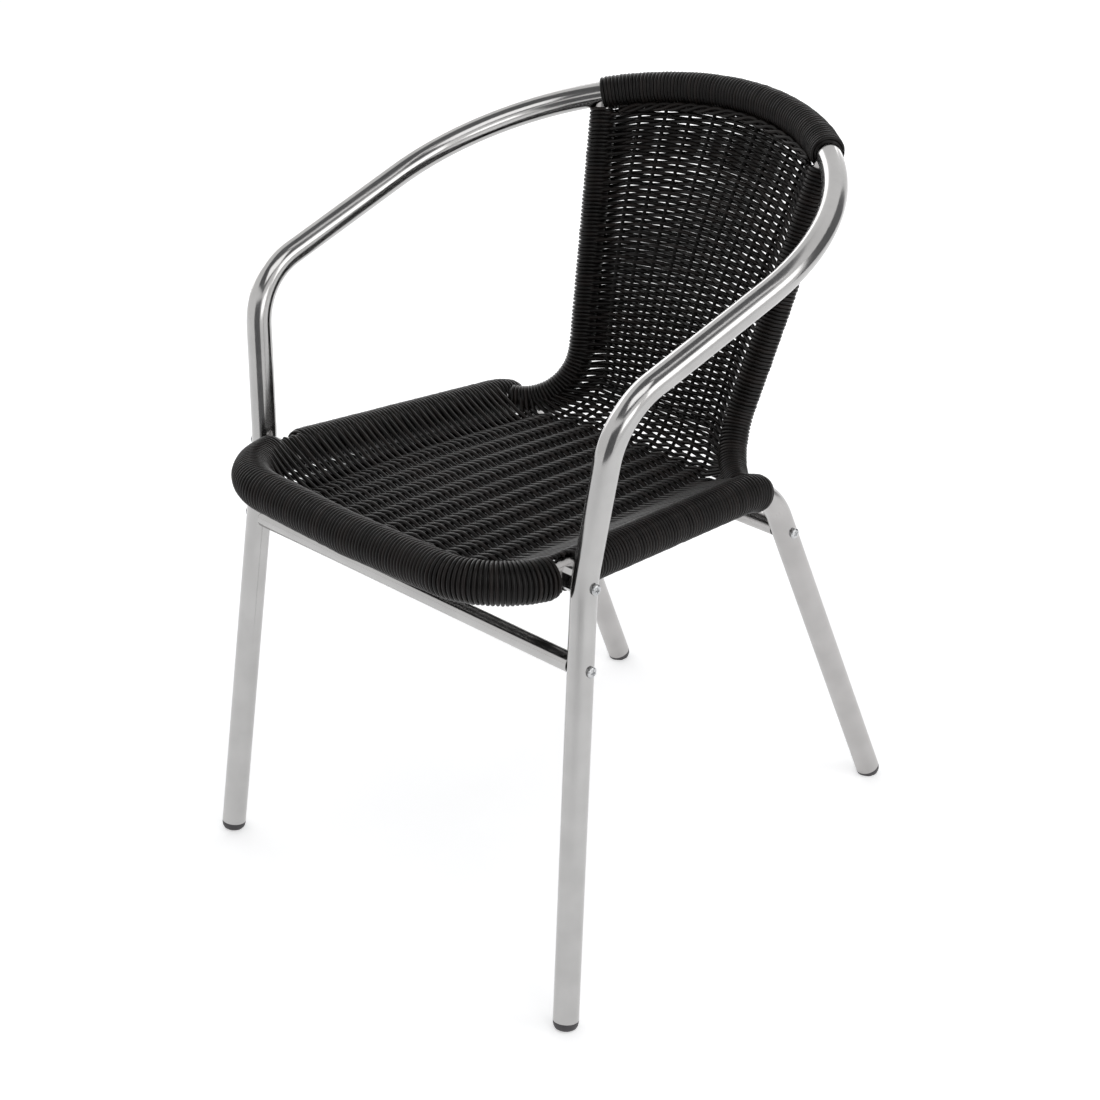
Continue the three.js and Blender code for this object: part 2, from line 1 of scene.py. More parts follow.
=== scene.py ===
"""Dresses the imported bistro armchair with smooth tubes, wound and woven cane, screws and foot plugs.

Blender's units are metres. Sizes in the classes are millimetres, as a maker writes them, and go through
in_frame() once. +Z is up, the sitter faces -Y, x = 0 is the middle and "right" is the +X side.
"""

import logging
import math
from dataclasses import dataclass, field
from enum import Enum
from functools import cached_property

import bpy
import numpy as np
from mathutils import Matrix, Vector


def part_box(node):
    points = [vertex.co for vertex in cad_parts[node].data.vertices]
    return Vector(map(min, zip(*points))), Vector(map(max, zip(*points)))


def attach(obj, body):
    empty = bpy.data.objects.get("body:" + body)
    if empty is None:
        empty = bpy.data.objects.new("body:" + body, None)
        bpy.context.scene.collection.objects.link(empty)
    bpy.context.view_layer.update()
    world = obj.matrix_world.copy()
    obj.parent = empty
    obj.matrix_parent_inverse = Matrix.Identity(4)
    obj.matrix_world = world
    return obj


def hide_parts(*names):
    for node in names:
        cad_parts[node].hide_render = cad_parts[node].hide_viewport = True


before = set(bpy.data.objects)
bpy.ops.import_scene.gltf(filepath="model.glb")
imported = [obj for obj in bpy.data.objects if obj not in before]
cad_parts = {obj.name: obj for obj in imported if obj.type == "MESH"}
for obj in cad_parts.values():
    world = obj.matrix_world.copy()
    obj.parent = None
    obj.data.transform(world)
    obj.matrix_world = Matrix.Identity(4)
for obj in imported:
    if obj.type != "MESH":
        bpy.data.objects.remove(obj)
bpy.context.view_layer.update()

LOG = logging.getLogger("bistro_armchair")
Corner = tuple[float, float, float]
Material = bpy.types.Material
Node = bpy.types.Node
NodeTree = bpy.types.NodeTree
Link = tuple[Node, str]

BODY = "root"
MM = 0.001
MIRROR = (-1, 1, 1)  # takes points to the other side of x = 0
LEAST_STRAIGHT = 0.35  # mm that a bend leaves of the straights beside it
LONGEST_STEP = 12.0 * MM  # between two rings of a smooth tube
THICK_SIDES = 56
THIN_SIDES = 40
FRONT_FOOT: Corner = (250.8, -276.8, 0.0)
WAIST: Corner = (224.1, -200.2, 436.9)
FRONT_STRETCHER_HEIGHT = 357.0
REAR_STRETCHER_HEIGHT = 340.5
TOP_CREST = 17.4  # mm, the windings' outer radii
FRONT_CREST = 20.5
SIDE_CREST = 19.2
POST_CREST = 14.3


class Side(Enum):
    """The two halves of the chair, with the sign that x has there."""

    RIGHT = 1
    LEFT = -1

    @property
    def label(self) -> str:
        """The side's name, as the nodes and pieces have it."""
        return self.name.lower()


class Panel(Enum):
    """The two woven panels."""

    SEAT = "seat"
    BACK = "back"


# Lines and meshes


def unit(vectors: np.ndarray) -> np.ndarray:
    """Scales vectors, held along an array's last axis, to length one."""
    return vectors / np.maximum(np.linalg.norm(vectors, axis=-1, keepdims=True), 1e-12)


def plan_shift() -> float:
    """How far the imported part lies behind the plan, in millimetres, read from the front stretcher."""
    low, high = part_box("front_stretcher")
    planned = FRONT_FOOT[1] + (WAIST[1] - FRONT_FOOT[1]) * FRONT_STRETCHER_HEIGHT / WAIST[2]
    return (low[1] + high[1]) / 2 / MM - planned


SHIFT_Y = plan_shift()


def in_frame(points: np.ndarray | list[Corner]) -> np.ndarray:
    """Turns places on the plan, in millimetres, to metres in the part's frame."""
    return (np.asarray(points, float) + (0.0, SHIFT_Y, 0.0)) * MM


def rounded(corners: np.ndarray, radii: list[float], step: float = math.radians(3)) -> np.ndarray:
    """A line through corners whose inner corners are rounded, as far as their straights allow.

    Args:
        corners: The corners, from one end to the other.
        radii: One bend radius for each inner corner.
        step: The largest turn between two points of a bend, in radians.

    Returns:
        The points of the line.
    """
    line = [corners[0]]
    taken = 0.0
    for before, corner, after, wanted in zip(corners, corners[1:], corners[2:], radii):
        back = unit(before - corner)
        ahead = unit(after - corner)
        opening = math.acos(float(np.clip(back @ ahead, -1, 1)))
        turn = math.pi - opening
        straights = (np.linalg.norm(before - corner) - taken, np.linalg.norm(after - corner))
        taken = min(wanted / math.tan(opening / 2), min(straights) - LEAST_STRAIGHT)
        radius = taken * math.tan(opening / 2)
        start = corner + back * taken
        centre = corner + unit(back + ahead) * radius / math.sin(opening / 2)
        outward = unit(start - centre)
        for angle in np.linspace(0, turn, max(2, math.ceil(turn / step)) + 1):
            line.append(centre + radius * (outward * math.cos(angle) - back * math.sin(angle)))
    line.append(corners[-1])
    return np.array(line)


def smoothed(points: np.ndarray) -> np.ndarray:
    """A line with its corners eased once, and its ends kept."""
    inner = (points[:-2] + 2 * points[1:-1] + points[2:]) / 4
    return np.vstack([points[:1], inner, points[-1:]])


@dataclass(frozen=True)
class Route:
    """A line in the part's frame, in metres, with axes that don't twist along it."""

    points: np.ndarray

    @cached_property
    def distances(self) -> np.ndarray:
        """The distance of each point from the start."""
        steps = np.linalg.norm(np.diff(self.points, axis=0), axis=1)
        return np.concatenate(([0.0], np.cumsum(steps)))

    @property
    def length(self) -> float:
        """The line's whole length."""
        return float(self.distances[-1])

    @cached_property
    def axes(self) -> tuple[np.ndarray, np.ndarray, np.ndarray]:
        """Tangents, normals and binormals at the points, carried along without a twist."""
        steps = unit(np.diff(self.points, axis=0))
        tangents = unit(np.vstack([steps[:1], steps[:-1] + steps[1:], steps[-1:]]))
        across = np.cross(tangents[0], (0.0, 0.0, 1.0))
        if np.linalg.norm(across) < 0.3:
            across = np.cross(tangents[0], (0.0, 1.0, 0.0))
        normals = [unit(across)]
        for tangent in tangents[1:]:
            normals.append(unit(normals[-1] - tangent * (normals[-1] @ tangent)))
        return tangents, np.array(normals), np.cross(tangents, normals)

    def _mixed(self, values: np.ndarray, distances: np.ndarray) -> np.ndarray:
        """Values at the points, read between them at some distances."""
        columns = [np.interp(distances, self.distances, column) for column in values.T]
        return np.stack(columns, axis=-1)

    def at(self, distances: np.ndarray | float) -> np.ndarray:
        """The places at some distances from the start."""
        return self._mixed(self.points, np.asarray(distances, float))

    def frames_at(self, distances: np.ndarray) -> tuple[np.ndarray, ...]:
        """Places, tangents, normals and binormals at some distances from the start."""
        axes = (unit(self._mixed(axis, distances)) for axis in self.axes)
        return self.at(distances), *axes

    def part(self, start: float, end: float) -> "Route":
        """The part of the line between two distances from its start."""
        inner = self.points[(self.distances > start + 1e-6) & (self.distances < end - 1e-6)]
        return Route(np.vstack([self.at(start), inner, self.at(end)]))

    def on(self, side: Side) -> "Route":
        """The right side's line, on a side of the chair."""
        return Route(self.points * (side.value, 1, 1))

    def nearest(self, place: np.ndarray) -> float:
        """The distance along the line to its point nearest to a place."""
        fine = np.linspace(0, self.length, 4000)
        return float(fine[np.linalg.norm(self.at(fine) - place, axis=1).argmin()])

    def spaced(self, step: float) -> np.ndarray:
        """The points' distances, with more between them wherever two are over a step apart."""
        known = self.distances
        parts = [
            np.linspace(low, high, max(1, math.ceil((high - low) / step)), endpoint=False)
            for low, high in zip(known, known[1:])
        ]
        return np.concatenate([*parts, known[-1:]])


@dataclass
class Skin:
    """Grids of points that become one mesh, with what the materials read of them.

    The attribute "lay" holds the place across a tube or cane and the distance along it, in metres, and
    "tone" holds a value from 0 to 1 that differs from strand to strand. It is also set low as painted
    shade on the windings' base and on the strands that come back under the rails.
    """

    name: str
    points: list[np.ndarray] = field(default_factory=list)
    lay: list[np.ndarray] = field(default_factory=list)
    tone: list[np.ndarray] = field(default_factory=list)
    faces: list[np.ndarray] = field(default_factory=list)
    count: int = 0

    def add(self, points: np.ndarray, lay: np.ndarray, tone: float = 0.5, closed: bool = False) -> None:
        """Adds a grid of points.

        Args:
            points: Rows by columns by three. The columns turn anticlockwise about the way the rows go.
            lay: The "lay" value of each point.
            tone: The "tone" value of the whole grid.
            closed: True where the last column joins the first.
        """
        rows, columns = points.shape[:2]
        index = self.count + np.arange(rows * columns).reshape(rows, columns)
        here = index if closed else index[:, :-1]
        beside = np.roll(index, -1, axis=1) if closed else index[:, 1:]
        quads = np.stack([here[:-1], beside[:-1], beside[1:], here[1:]], -1)
        self.faces.append(quads.reshape(-1, 4))
        self.points.append(points.reshape(-1, 3))
        self.lay.append(lay.reshape(-1, 3))
        self.tone.append(np.full(rows * columns, tone))
        self.count += rows * columns

    def built(self, material: Material) -> bpy.types.Object:
        """Makes the mesh and its object in the scene, shaded smooth."""
        mesh = bpy.data.meshes.new(self.name)
        faces = np.concatenate(self.faces).tolist()
        mesh.from_pydata(np.concatenate(self.points).tolist(), [], faces)
        mesh.polygons.foreach_set("use_smooth", np.ones(len(mesh.polygons), bool))
        lay = mesh.attributes.new("lay", "FLOAT_VECTOR", "POINT")
        lay.data.foreach_set("vector", np.concatenate(self.lay).ravel())
        tone = mesh.attributes.new("tone", "FLOAT", "POINT")
        tone.data.foreach_set("value", np.concatenate(self.tone))
        mesh.materials.append(material)
        piece = bpy.data.objects.new(self.name, mesh)
        bpy.context.scene.collection.objects.link(piece)
        return piece


def add_tube(
    skin: Skin,
    route: Route,
    radius: float | np.ndarray,
    sides: int,
    tone: float = 0.5,
    along: np.ndarray | None = None,
) -> None:
    """Adds a round tube along a route.

    Args:
        skin: What the tube is added to.
        route: The tube's middle.
        radius: One radius in metres, or one for each distance in along.
        sides: How many faces go round.
        tone: The strand's tone.
        along: The distances of the rings, or None for the route's own points.
    """
    distances = route.distances if along is None else along
    places, _, normals, binormals = route.frames_at(distances)
    angles = np.linspace(0, math.tau, sides, endpoint=False)[:, None]
    radii = np.broadcast_to(radius, distances.shape)[:, None, None]
    circle = np.cos(angles) * normals[:, None] + np.sin(angles) * binormals[:, None]
    lay = np.broadcast_arrays(radii * np.cos(angles), radii * np.sin(angles), distances[:, None, None])
    skin.add(places[:, None] + radii * circle, np.concatenate(lay, axis=-1), tone, closed=True)


def add_turned(
    skin: Skin, profile: list[tuple[float, float]], place: np.ndarray, axis: np.ndarray, sides: int
) -> None:
    """Adds a profile of (radius, height) pairs, in millimetres, turned round an axis from a place."""
    axis = unit(axis)
    across = unit(np.cross(axis, (0.3, 0.5, 0.8)))
    other = np.cross(axis, across)
    angles = np.linspace(0, math.tau, sides, endpoint=False)
    circle = np.cos(angles)[:, None] * across + np.sin(angles)[:, None] * other
    rows = np.array(profile) * MM
    radii, heights = rows[:, :1], rows[:, 1:]
    points = place + radii[..., None] * circle + heights[..., None] * axis
    lay = np.broadcast_arrays(radii * np.cos(angles), radii * np.sin(angles), heights)
    skin.add(points, np.stack(lay, -1), closed=True)


def domed(length: float, radius: float, spacing: float) -> tuple[np.ndarray, np.ndarray]:
    """Distances along a strand whose two ends are rounded off, and its radius at each of them."""
    turn = np.radians([2, 25, 55, 90])
    start = radius * (1 - np.cos(turn))
    steps = max(2, math.ceil((length - 2 * radius) / spacing))
    middle = np.linspace(radius, length - radius, steps + 1)[1:-1]
    distances = np.concatenate([start, middle, length - start[::-1]])
    ends = radius * np.sin(turn)
    return distances, np.concatenate([ends, np.full(len(middle), radius), ends[::-1]])


def fitted(piece: bpy.types.Object, slot: str, *nodes: str) -> None:
    """Ties a piece to the chair's body, and hides the CAD nodes that it replaces."""
    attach(piece, BODY)
    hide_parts(*nodes)
    LOG.info("%s: %d faces, in place of %s", piece.name, len(piece.data.polygons), ", ".join(nodes))


@dataclass(frozen=True)
class TubeMaker:
    """Makes smooth tubes of one radius, in millimetres, in place of CAD nodes."""

    radius: float
    sides: int

    def build(self, name: str, route: Route, finish: Material, slot: str, node: str) -> None:
        """Makes one tube along a route."""
        skin = Skin(name)
        add_tube(skin, route, self.radius * MM, self.sides, along=route.spaced(LONGEST_STEP))
        fitted(skin.built(finish), slot, node)


# Finishes


def linear(colour: str) -> tuple[float, float, float, float]:
    """Turns an sRGB hex colour, six digits after a hash, to Blender's linear one."""
    values = [int(colour[i : i + 2], 16) / 255 for i in (1, 3, 5)]
    red, green, blue = (
        v / 12.92 if v <= 0.04045 else ((v + 0.055) / 1.055) ** 2.4 for v in values
    )
    return red, green, blue, 1.0


def put(tree: NodeTree, kind: str, values: dict[str, object], links: dict[str, Link]) -> Node:
    """Adds a node with its settings and links.

    Args:
        tree: The node tree.
        kind: The node's type.
        values: A setting of the node, or else the value of one of its inputs, by name.
        links: For an input's name, the node and the output that feed it.

    Returns:
        The new node.
    """
    node = tree.nodes.new(kind)
    for name, value in values.items():
        if hasattr(node, name):
            setattr(node, name, value)
        else:
            node.inputs[name].default_value = value
    for name, (source, output) in links.items():
        tree.links.new(source.outputs[output], node.inputs[name])
    return node


def blank(name: str) -> tuple[Material, NodeTree]:
    """A material with an empty node tree, and that tree."""
    material = bpy.data.materials.new(name)
    material.use_nodes = True
    material.node_tree.nodes.clear()
    return material, material.node_tree


def ramp(tree: NodeTree, source: Link, stops: list[tuple[float, str]]) -> Node:
    """A colour ramp with its stops, places from 0 to 1 and their hex colours."""
    node = put(tree, "ShaderNodeValToRGB", {}, {"Fac": source})
    elements = node.color_ramp.elements
    while len(elements) < len(stops):
        elements.new(0.5)
    for element, (place, colour) in zip(elements, stops):
        element.position = place
        element.color = linear(colour)
    return node


def attribute(tree: NodeTree, name: str, output: str) -> Link:
    """What a skin's attribute gives a material."""
    return put(tree, "ShaderNodeAttribute", {"attribute_name": name}, {}), output


def noise(tree: NodeTree, place: Link, scale: float, detail: float) -> Link:
    """Even noise, with a scale per metre."""
    values = {"Scale": scale, "Detail": detail}
    return put(tree, "ShaderNodeTexNoise", values, {"Vector": place}), "Fac"


def drawn_noise(tree: NodeTree, lay: Link, width: float, length: float, detail: float) -> Link:
    """Noise that is drawn out along a tube or strand, with its width and length in millimetres."""
    stretch = (1 / (width * MM), 1 / (width * MM), 1 / (length * MM))
    values = {"vector_type": "POINT", "Scale": stretch}
    place = put(tree, "ShaderNodeMapping", values, {"Vector": lay})
    return noise(tree, (place, "Vector"), 1.0, detail)


def varied(tree: NodeTree, source: Link, middle: float, less: float, more: float) -> Link:
    """A roughness that a noise moves about its middle value."""
    values = {"From Min": 0.3, "From Max": 0.7, "To Min": middle - less, "To Max": middle + more}
    return put(tree, "ShaderNodeMapRange", values, {"Value": source}), "Result"


def bumped(tree: NodeTree, height: Link, strength: float, depth: float) -> Link:
    """A bump that a noise makes, with its depth in millimetres."""
    values = {"Strength": strength, "Distance": depth * MM}
    return put(tree, "ShaderNodeBump", values, {"Height": height}), "Normal"


def close(tree: NodeTree, values: dict[str, float], tint: Node, rough: Link, bump: Link) -> None:
    """Ends a material's tree with its surface shader."""
    links = {"Base Color": (tint, "Color"), "Roughness": rough, "Normal": bump}
    shader = put(tree, "ShaderNodeBsdfPrincipled", values, links)
    put(tree, "ShaderNodeOutputMaterial", {}, {"Surface": (shader, "BSDF")})


@dataclass(frozen=True)
class DrawnAluminium:
    """Aluminium tube, drawn through a die and buffed: long fine lines, with cloudy haze between."""

    name: str
    colour: str
    worn_colour: str
    roughness: float
    haze: float
    line_depth: float
    line_width: float = 0.35  # mm between two lines, coarser than the real ones so that they show
    line_length: float = 60.0  # mm
    cloud_scale: float = 28.0  # per metre
    cloud_share: float = 0.55

    def material(self) -> Material:
        """Makes the material."""
        material, tree = blank(self.name)
        lay = attribute(tree, "lay", "Vector")
        lines = drawn_noise(tree, lay, self.line_width, self.line_length, 3.0)
        cloud = noise(tree, lay, self.cloud_scale, 4.0)
        mix = {"data_type": "FLOAT", "Factor": self.cloud_share}
        mixed = put(tree, "ShaderNodeMix", mix, {"A": lines, "B": cloud})
        rough = varied(tree, (mixed, "Result"), self.roughness, self.haze, self.haze)
        tint = ramp(tree, cloud, [(0.35, self.worn_colour), (0.62, self.colour)])
        close(tree, {"Metallic": 1.0}, tint, rough, bumped(tree, lines, 1.0, self.line_depth))
        return material


@dataclass(frozen=True)
class ExtrudedCane:
    """Round polyethylene cane, extruded: a soft sheen, die lines, and batches that differ in tone. The
    darker tones also serve as painted shade, on the windings' base and the strands under the rails.
    """

    name: str
    dark: str
    middle: str
    light: str
    roughness: float
    shine: float
    grain_width: float = 0.5  # mm between two die lines
    grain_length: float = 14.0  # mm
    grain_depth: float = 0.04  # mm

    def material(self) -> Material:
        """Makes the material."""
        material, tree = blank(self.name)
        lay = attribute(tree, "lay", "Vector")
        tone = attribute(tree, "tone", "Fac")
        grain = drawn_noise(tree, lay, self.grain_width, self.grain_length, 2.0)
        tint = ramp(tree, tone, [(0.0, self.dark), (0.55, self.middle), (1.0, self.light)])
        rough = varied(tree, grain, self.roughness, 0.07, 0.09)
        values = {"Metallic": 0.0, "IOR": 1.5, "Specular IOR Level": self.shine}
        close(tree, values, tint, rough, bumped(tree, grain, 0.6, self.grain_depth))
        return material


@dataclass(frozen=True)
class GrainedSurface:
    """A moulded or plated surface: one colour with a worn one, and an even fine grain."""

    name: str
    colour: str
    worn_colour: str
    metallic: float
    roughness: float
    grain: float  # mm between two grains
    depth: float  # mm
    cloud_scale: float = 60.0  # per metre

    def material(self) -> Material:
        """Makes the material."""
        material, tree = blank(self.name)
        place = (put(tree, "ShaderNodeTexCoord", {}, {}), "Object")
        grain = noise(tree, place, 1 / (self.grain * MM), 3.0)
        cloud = noise(tree, place, self.cloud_scale, 3.0)
        tint = ramp(tree, cloud, [(0.38, self.worn_colour), (0.6, self.colour)])
        rough = varied(tree, cloud, self.roughness, 0.06, 0.08)
        bump = bumped(tree, grain, 0.7, self.depth)
        close(tree, {"Metallic": self.metallic}, tint, rough, bump)
        return material


@dataclass(frozen=True)
class Finishes:
    """Every finish of the chair, made once."""

    # Buffed aluminium tube: bright, with hard streaks of the studio in it.
    buffed: Material
    # The same tube as drawn: a paler, softer shine.
    satin: Material
    # Black-brown cane.
    cane: Material
    # Coated wire inside the weave.
    wire: Material
    # Zinc-plated screws, inserts and nuts.
    plated: Material
    # Moulded plugs in the legs' ends.
    plug: Material

    @classmethod
    def made(cls) -> "Finishes":
        """Makes all the materials."""
        made = (
            DrawnAluminium("buffed_aluminium", "#b7b6b5", "#b0afae", 0.16, 0.04, 0.003),
            DrawnAluminium("satin_aluminium", "#b5b3b2", "#adabaa", 0.24, 0.05, 0.006),
            ExtrudedCane("extruded_cane", "#0d0b0a", "#13100f", "#1c1715", 0.36, 0.2),
            ExtrudedCane("coated_wire", "#0d0b0a", "#110f0e", "#151211", 0.5, 0.16),
            GrainedSurface("zinc_plated_steel", "#c3c4c5", "#a2a3a4", 1.0, 0.24, 0.25, 0.01),
            GrainedSurface("moulded_plug", "#4c4a4c", "#434143", 0.0, 0.55, 0.35, 0.03),
        )
        return cls(*(finish.material() for finish in made))


# The metal


@dataclass(frozen=True)
class MainTube:
    """The bent tube of both front legs, both arms and the top rail."""

    maker: TubeMaker = TubeMaker(12.5, THICK_SIDES)
    front_foot: Corner = FRONT_FOOT
    waist: Corner = WAIST
    waist_bend: float = 150.0
    arm_corner: tuple[float, float] = (245.1, -173.2)
    arm_bend: float = 72.7
    hoop_radius: float = 248.8
    hoop_back: float = 271.6
    hoop_top: float = 712.7
    hoop_fall: float = 0.26
    hoop_sweep: float = math.radians(91.1)
    hoop_points: int = 73

    def _hoop_height(self, y: float) -> float:
        """The height of the hoop's plane, which falls to the front."""
        return self.hoop_top + (y - self.hoop_back) * self.hoop_fall

    def on_hoop(self, angle: float) -> Corner:
        """A place on the plan's hoop, at an angle from the middle of the top rail."""
        y = self.hoop_back - self.hoop_radius * (1 - math.cos(angle))
        return self.hoop_radius * math.sin(angle), y, self._hoop_height(y)

    @cached_property
    def route(self) -> Route:
        """The tube's middle, from the right front foot to the left one."""
        corner = (*self.arm_corner, self._hoop_height(self.arm_corner[1]))
        end = self.on_hoop(self.hoop_sweep)
        corners = np.array([self.front_foot, self.waist, corner, end])
        right = rounded(corners, [self.waist_bend, self.arm_bend])
        angles = np.linspace(self.hoop_sweep, -self.hoop_sweep, self.hoop_points)[1:-1]
        hoop = [self.on_hoop(angle) for angle in angles]
        return Route(in_frame(np.vstack([right, hoop, right[::-1] * MIRROR])))

    def top_rail(self, angle: float) -> Route:
        """The top rail's middle, so far to both sides of x = 0, in radians of the hoop."""
        middle = self.route.length / 2
        half = angle * self.hoop_radius * MM
        return self.route.part(middle - half, middle + half)

    def build(self, finish: Material, leg_start: float) -> None:
        """Makes the smooth tube, from plug to plug."""
        whole = self.route.part(leg_start, self.route.length - leg_start)
        self.maker.build("main_tube", whole, finish, "polished", "main_frame")


@dataclass(frozen=True)
class SeatTube:
    """The bent tube of both rear legs, both side rails and the front rail."""

    maker: TubeMaker = TubeMaker(12.5, THICK_SIDES)
    rear_foot: Corner = (186.9, 251.3, 0.0)
    rear_corner: Corner = (171.9, 106.3, 398.5)
    rear_bend: float = 72.0
    front_corner: Corner = (199.0, -277.0, 443.0)
    front_bend: float = 74.0
    front_middle: Corner = (0.0, -281.0, 440.0)

    @cached_property
    def route(self) -> Route:
        """The tube's middle, from the right rear foot to the left one."""
        corners = np.array([self.rear_foot, self.rear_corner, self.front_corner, self.front_middle])
        right = rounded(corners, [self.rear_bend, self.front_bend])
        return Route(in_frame(np.vstack([right, right[-2::-1] * MIRROR])))

    def rail_at(self, y: float) -> float:
        """The distance along the tube to a y of the plan, on the right side rail."""
        rear, front = np.array(self.rear_corner), np.array(self.front_corner)
        share = (y - rear[1]) / (front[1] - rear[1])
        x, _, z = rear + share * (front - rear)
        return self.route.nearest(in_frame([(x, y, z)])[0])

    def build(self, finish: Material, leg_start: float) -> None:
        """Makes the smooth tube, from plug to plug."""
        whole = self.route.part(leg_start, self.route.length - leg_start)
        self.maker.build("seat_tube", whole, finish, "satin", "seat_frame")


@dataclass(frozen=True)
class BackPost:
    """A post from the side rail, round under the sitter's back and up to the top rail."""

    main: MainTube
    maker: TubeMaker = TubeMaker(9.5, THIN_SIDES)
    front: Corner = (172.0, 69.4, 404.2)
    corner: Corner = (102.0, 116.6, 396.0)
    corner_bend: float = 62.8
    bow: Corner = (1.3, 1.8, 0.0)
    bow_bend: float = 940.0
    top_angle: float = 0.64

    @property
    def middle(self) -> Corner:
        """The right post's middle halfway from its corner to the top rail, on the plan."""
        top = self.main.on_hoop(self.top_angle)
        return tuple((np.array(self.corner) + top) / 2 + self.bow)

    @cached_property
    def route(self) -> Route:
        """The right post's middle, from its front end up."""
        top = self.main.on_hoop(self.top_angle)
        corners = np.array([self.front, self.corner, self.middle, top])
        return Route(in_frame(rounded(corners, [self.corner_bend, self.bow_bend])))

    def build(self, finish: Material, side: Side) -> None:
        """Makes the smooth post of one side."""
        name = f"post_tube_{side.label}"
        self.maker.build(name, self.route.on(side), finish, "satin", f"back_post_{side.label}")


@dataclass(frozen=True)
class Stretcher:
    """A tube between two legs, whose ends are hidden inside them."""

    node: str
    leg: tuple[Corner, Corner]
    height: float
    maker: TubeMaker = TubeMaker(9.5, THIN_SIDES)
    end_gap: float = 10.0  # mm from the leg's middle

    def build(self, finish: Material, slot: str) -> None:
        """Makes the smooth tube."""
        foot, knee = np.array(self.leg)
        x, y, z = foot + (knee - foot) * self.height / knee[2]
        reach = x - self.end_gap
        route = Route(in_frame([(-reach, y, z), (reach, y, z)]))
        self.maker.build(f"{self.node}_tube", route, finish, slot, self.node)


@dataclass(frozen=True)
class PanScrew:
    """A pan-head screw with a cross recess and a washer face."""

    head: float = 5.3
    height: float = 2.9
    rim: float = 1.1
    dome_power: float = 2.6
    recess_width: float = 1.25
    recess_reach: float = 2.9
    recess_depth: float = 1.6
    recess_edge: float = 0.3
    recess_slope: float = 0.7
    shank: float = 2.9
    angles: int = 72
    rings: tuple[float, ...] = (
        0.02, 0.5, 0.8, 1.1, 1.5, 1.9, 2.3, 2.6, 2.9, 3.3, 3.9, 4.5, 4.9, 5.15, 5.3,
    )

    def _height_at(self, radius: np.ndarray, angle: np.ndarray) -> np.ndarray:
        """The head's height at polar places, with the cross sunk into the dome."""
        fall = np.clip(1 - np.clip(radius / self.head, 0, 1) ** self.dome_power, 0, 1)
        dome = self.rim + (self.height - self.rim) * np.sqrt(fall)
        along = radius * np.cos(angle)
        across = radius * np.sin(angle)
        half = (self.recess_width + self.recess_edge) / 2
        arms = []
        for one, other in ((along, across), (across, along)):
            side = np.clip((half - np.abs(one)) / self.recess_edge, 0, 1)
            end = np.clip((self.recess_reach - np.abs(other)) / self.recess_slope, 0, 1)
            arms.append(side * end)
        return dome - self.recess_depth * np.maximum(*arms)

    def build(self, node: str, side: Side, turn: float, finish: Material) -> None:
        """Makes the screw that replaces a CAD node.

        Args:
            node: The CAD node. The piece takes its place and length from it.
            side: The side of the chair that the head looks out of.
            turn: How far the cross is turned, in radians.
            finish: The screw's material.
        """
        low, high = (np.array(corner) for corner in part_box(node))
        place = (low + high) / 2
        outer = high[0] if side is Side.RIGHT else low[0]
        place[0] = outer - side.value * self.height * MM
        length = (high[0] - low[0]) / MM - self.height
        angles = np.linspace(0, math.tau, self.angles, endpoint=False)
        rings = np.array(self.rings)
        dome = self._height_at(rings[:, None], angles[None, :] + turn)[::-1]
        under = [(self.shank * 0.1, -length), (self.shank, -length), (self.shank, 0.0), (self.head, 0.0)]
        radius = np.concatenate([[r for r, _ in under], rings[::-1]])[:, None] * np.ones(self.angles)
        height = np.vstack([np.repeat([[h] for _, h in under], self.angles, axis=1), dome])
        way = float(side.value)
        points = [height * way, radius * np.cos(angles) * way, radius * np.sin(angles)]
        grid = np.stack(points, -1) * MM
        skin = Skin(f"{node}_pan")
        skin.add(place + grid, grid, closed=True)
        fitted(skin.built(finish), "steel", node)


@dataclass(frozen=True)
class FootPlug:
    """A moulded plug in a leg's end, with a tread that is worn flat."""

    height: float = 9.5
    worn: float = 1.2
    rim: float = 12.4
    sides: int = 48

    def build(self, node: str, route: Route, side: Side, finish: Material) -> None:
        """Makes the plug at the start of a route."""
        foot = route.points[0] * (side.value, 1, 1)
        axis = unit(route.points[1] - route.points[0]) * (side.value, 1, 1)
        profile = [
            (0.2, 0.0),
            (6.0, 0.0),
            (8.6, 0.5),
            (10.6, 1.9),
            (11.7, 4.0),
            (12.2, 6.2),
            (self.rim, 8.0),
            (self.rim, 9.1),
            (11.9, self.height),
            (9.8, self.height + 0.6),
            (9.6, self.height + 15.0),
            (0.2, self.height + 15.0),
        ]
        skin = Skin(f"{node}_moulding")
        add_turned(skin, profile, foot - axis * self.worn * MM / axis[2], axis, self.sides)
        skin.points[-1][:, 2] = np.maximum(skin.points[-1][:, 2], 0.0)
        fitted(skin.built(finish), "plastic", node)


# The cane


@dataclass(frozen=True)
class Cane:
    """The cane itself: one round strand for the windings and the weave."""

    diameter: float = 3.9
    pitch: float = 4.0

    @property
    def radius(self) -> float:
        """Half its diameter."""
        return self.diameter / 2


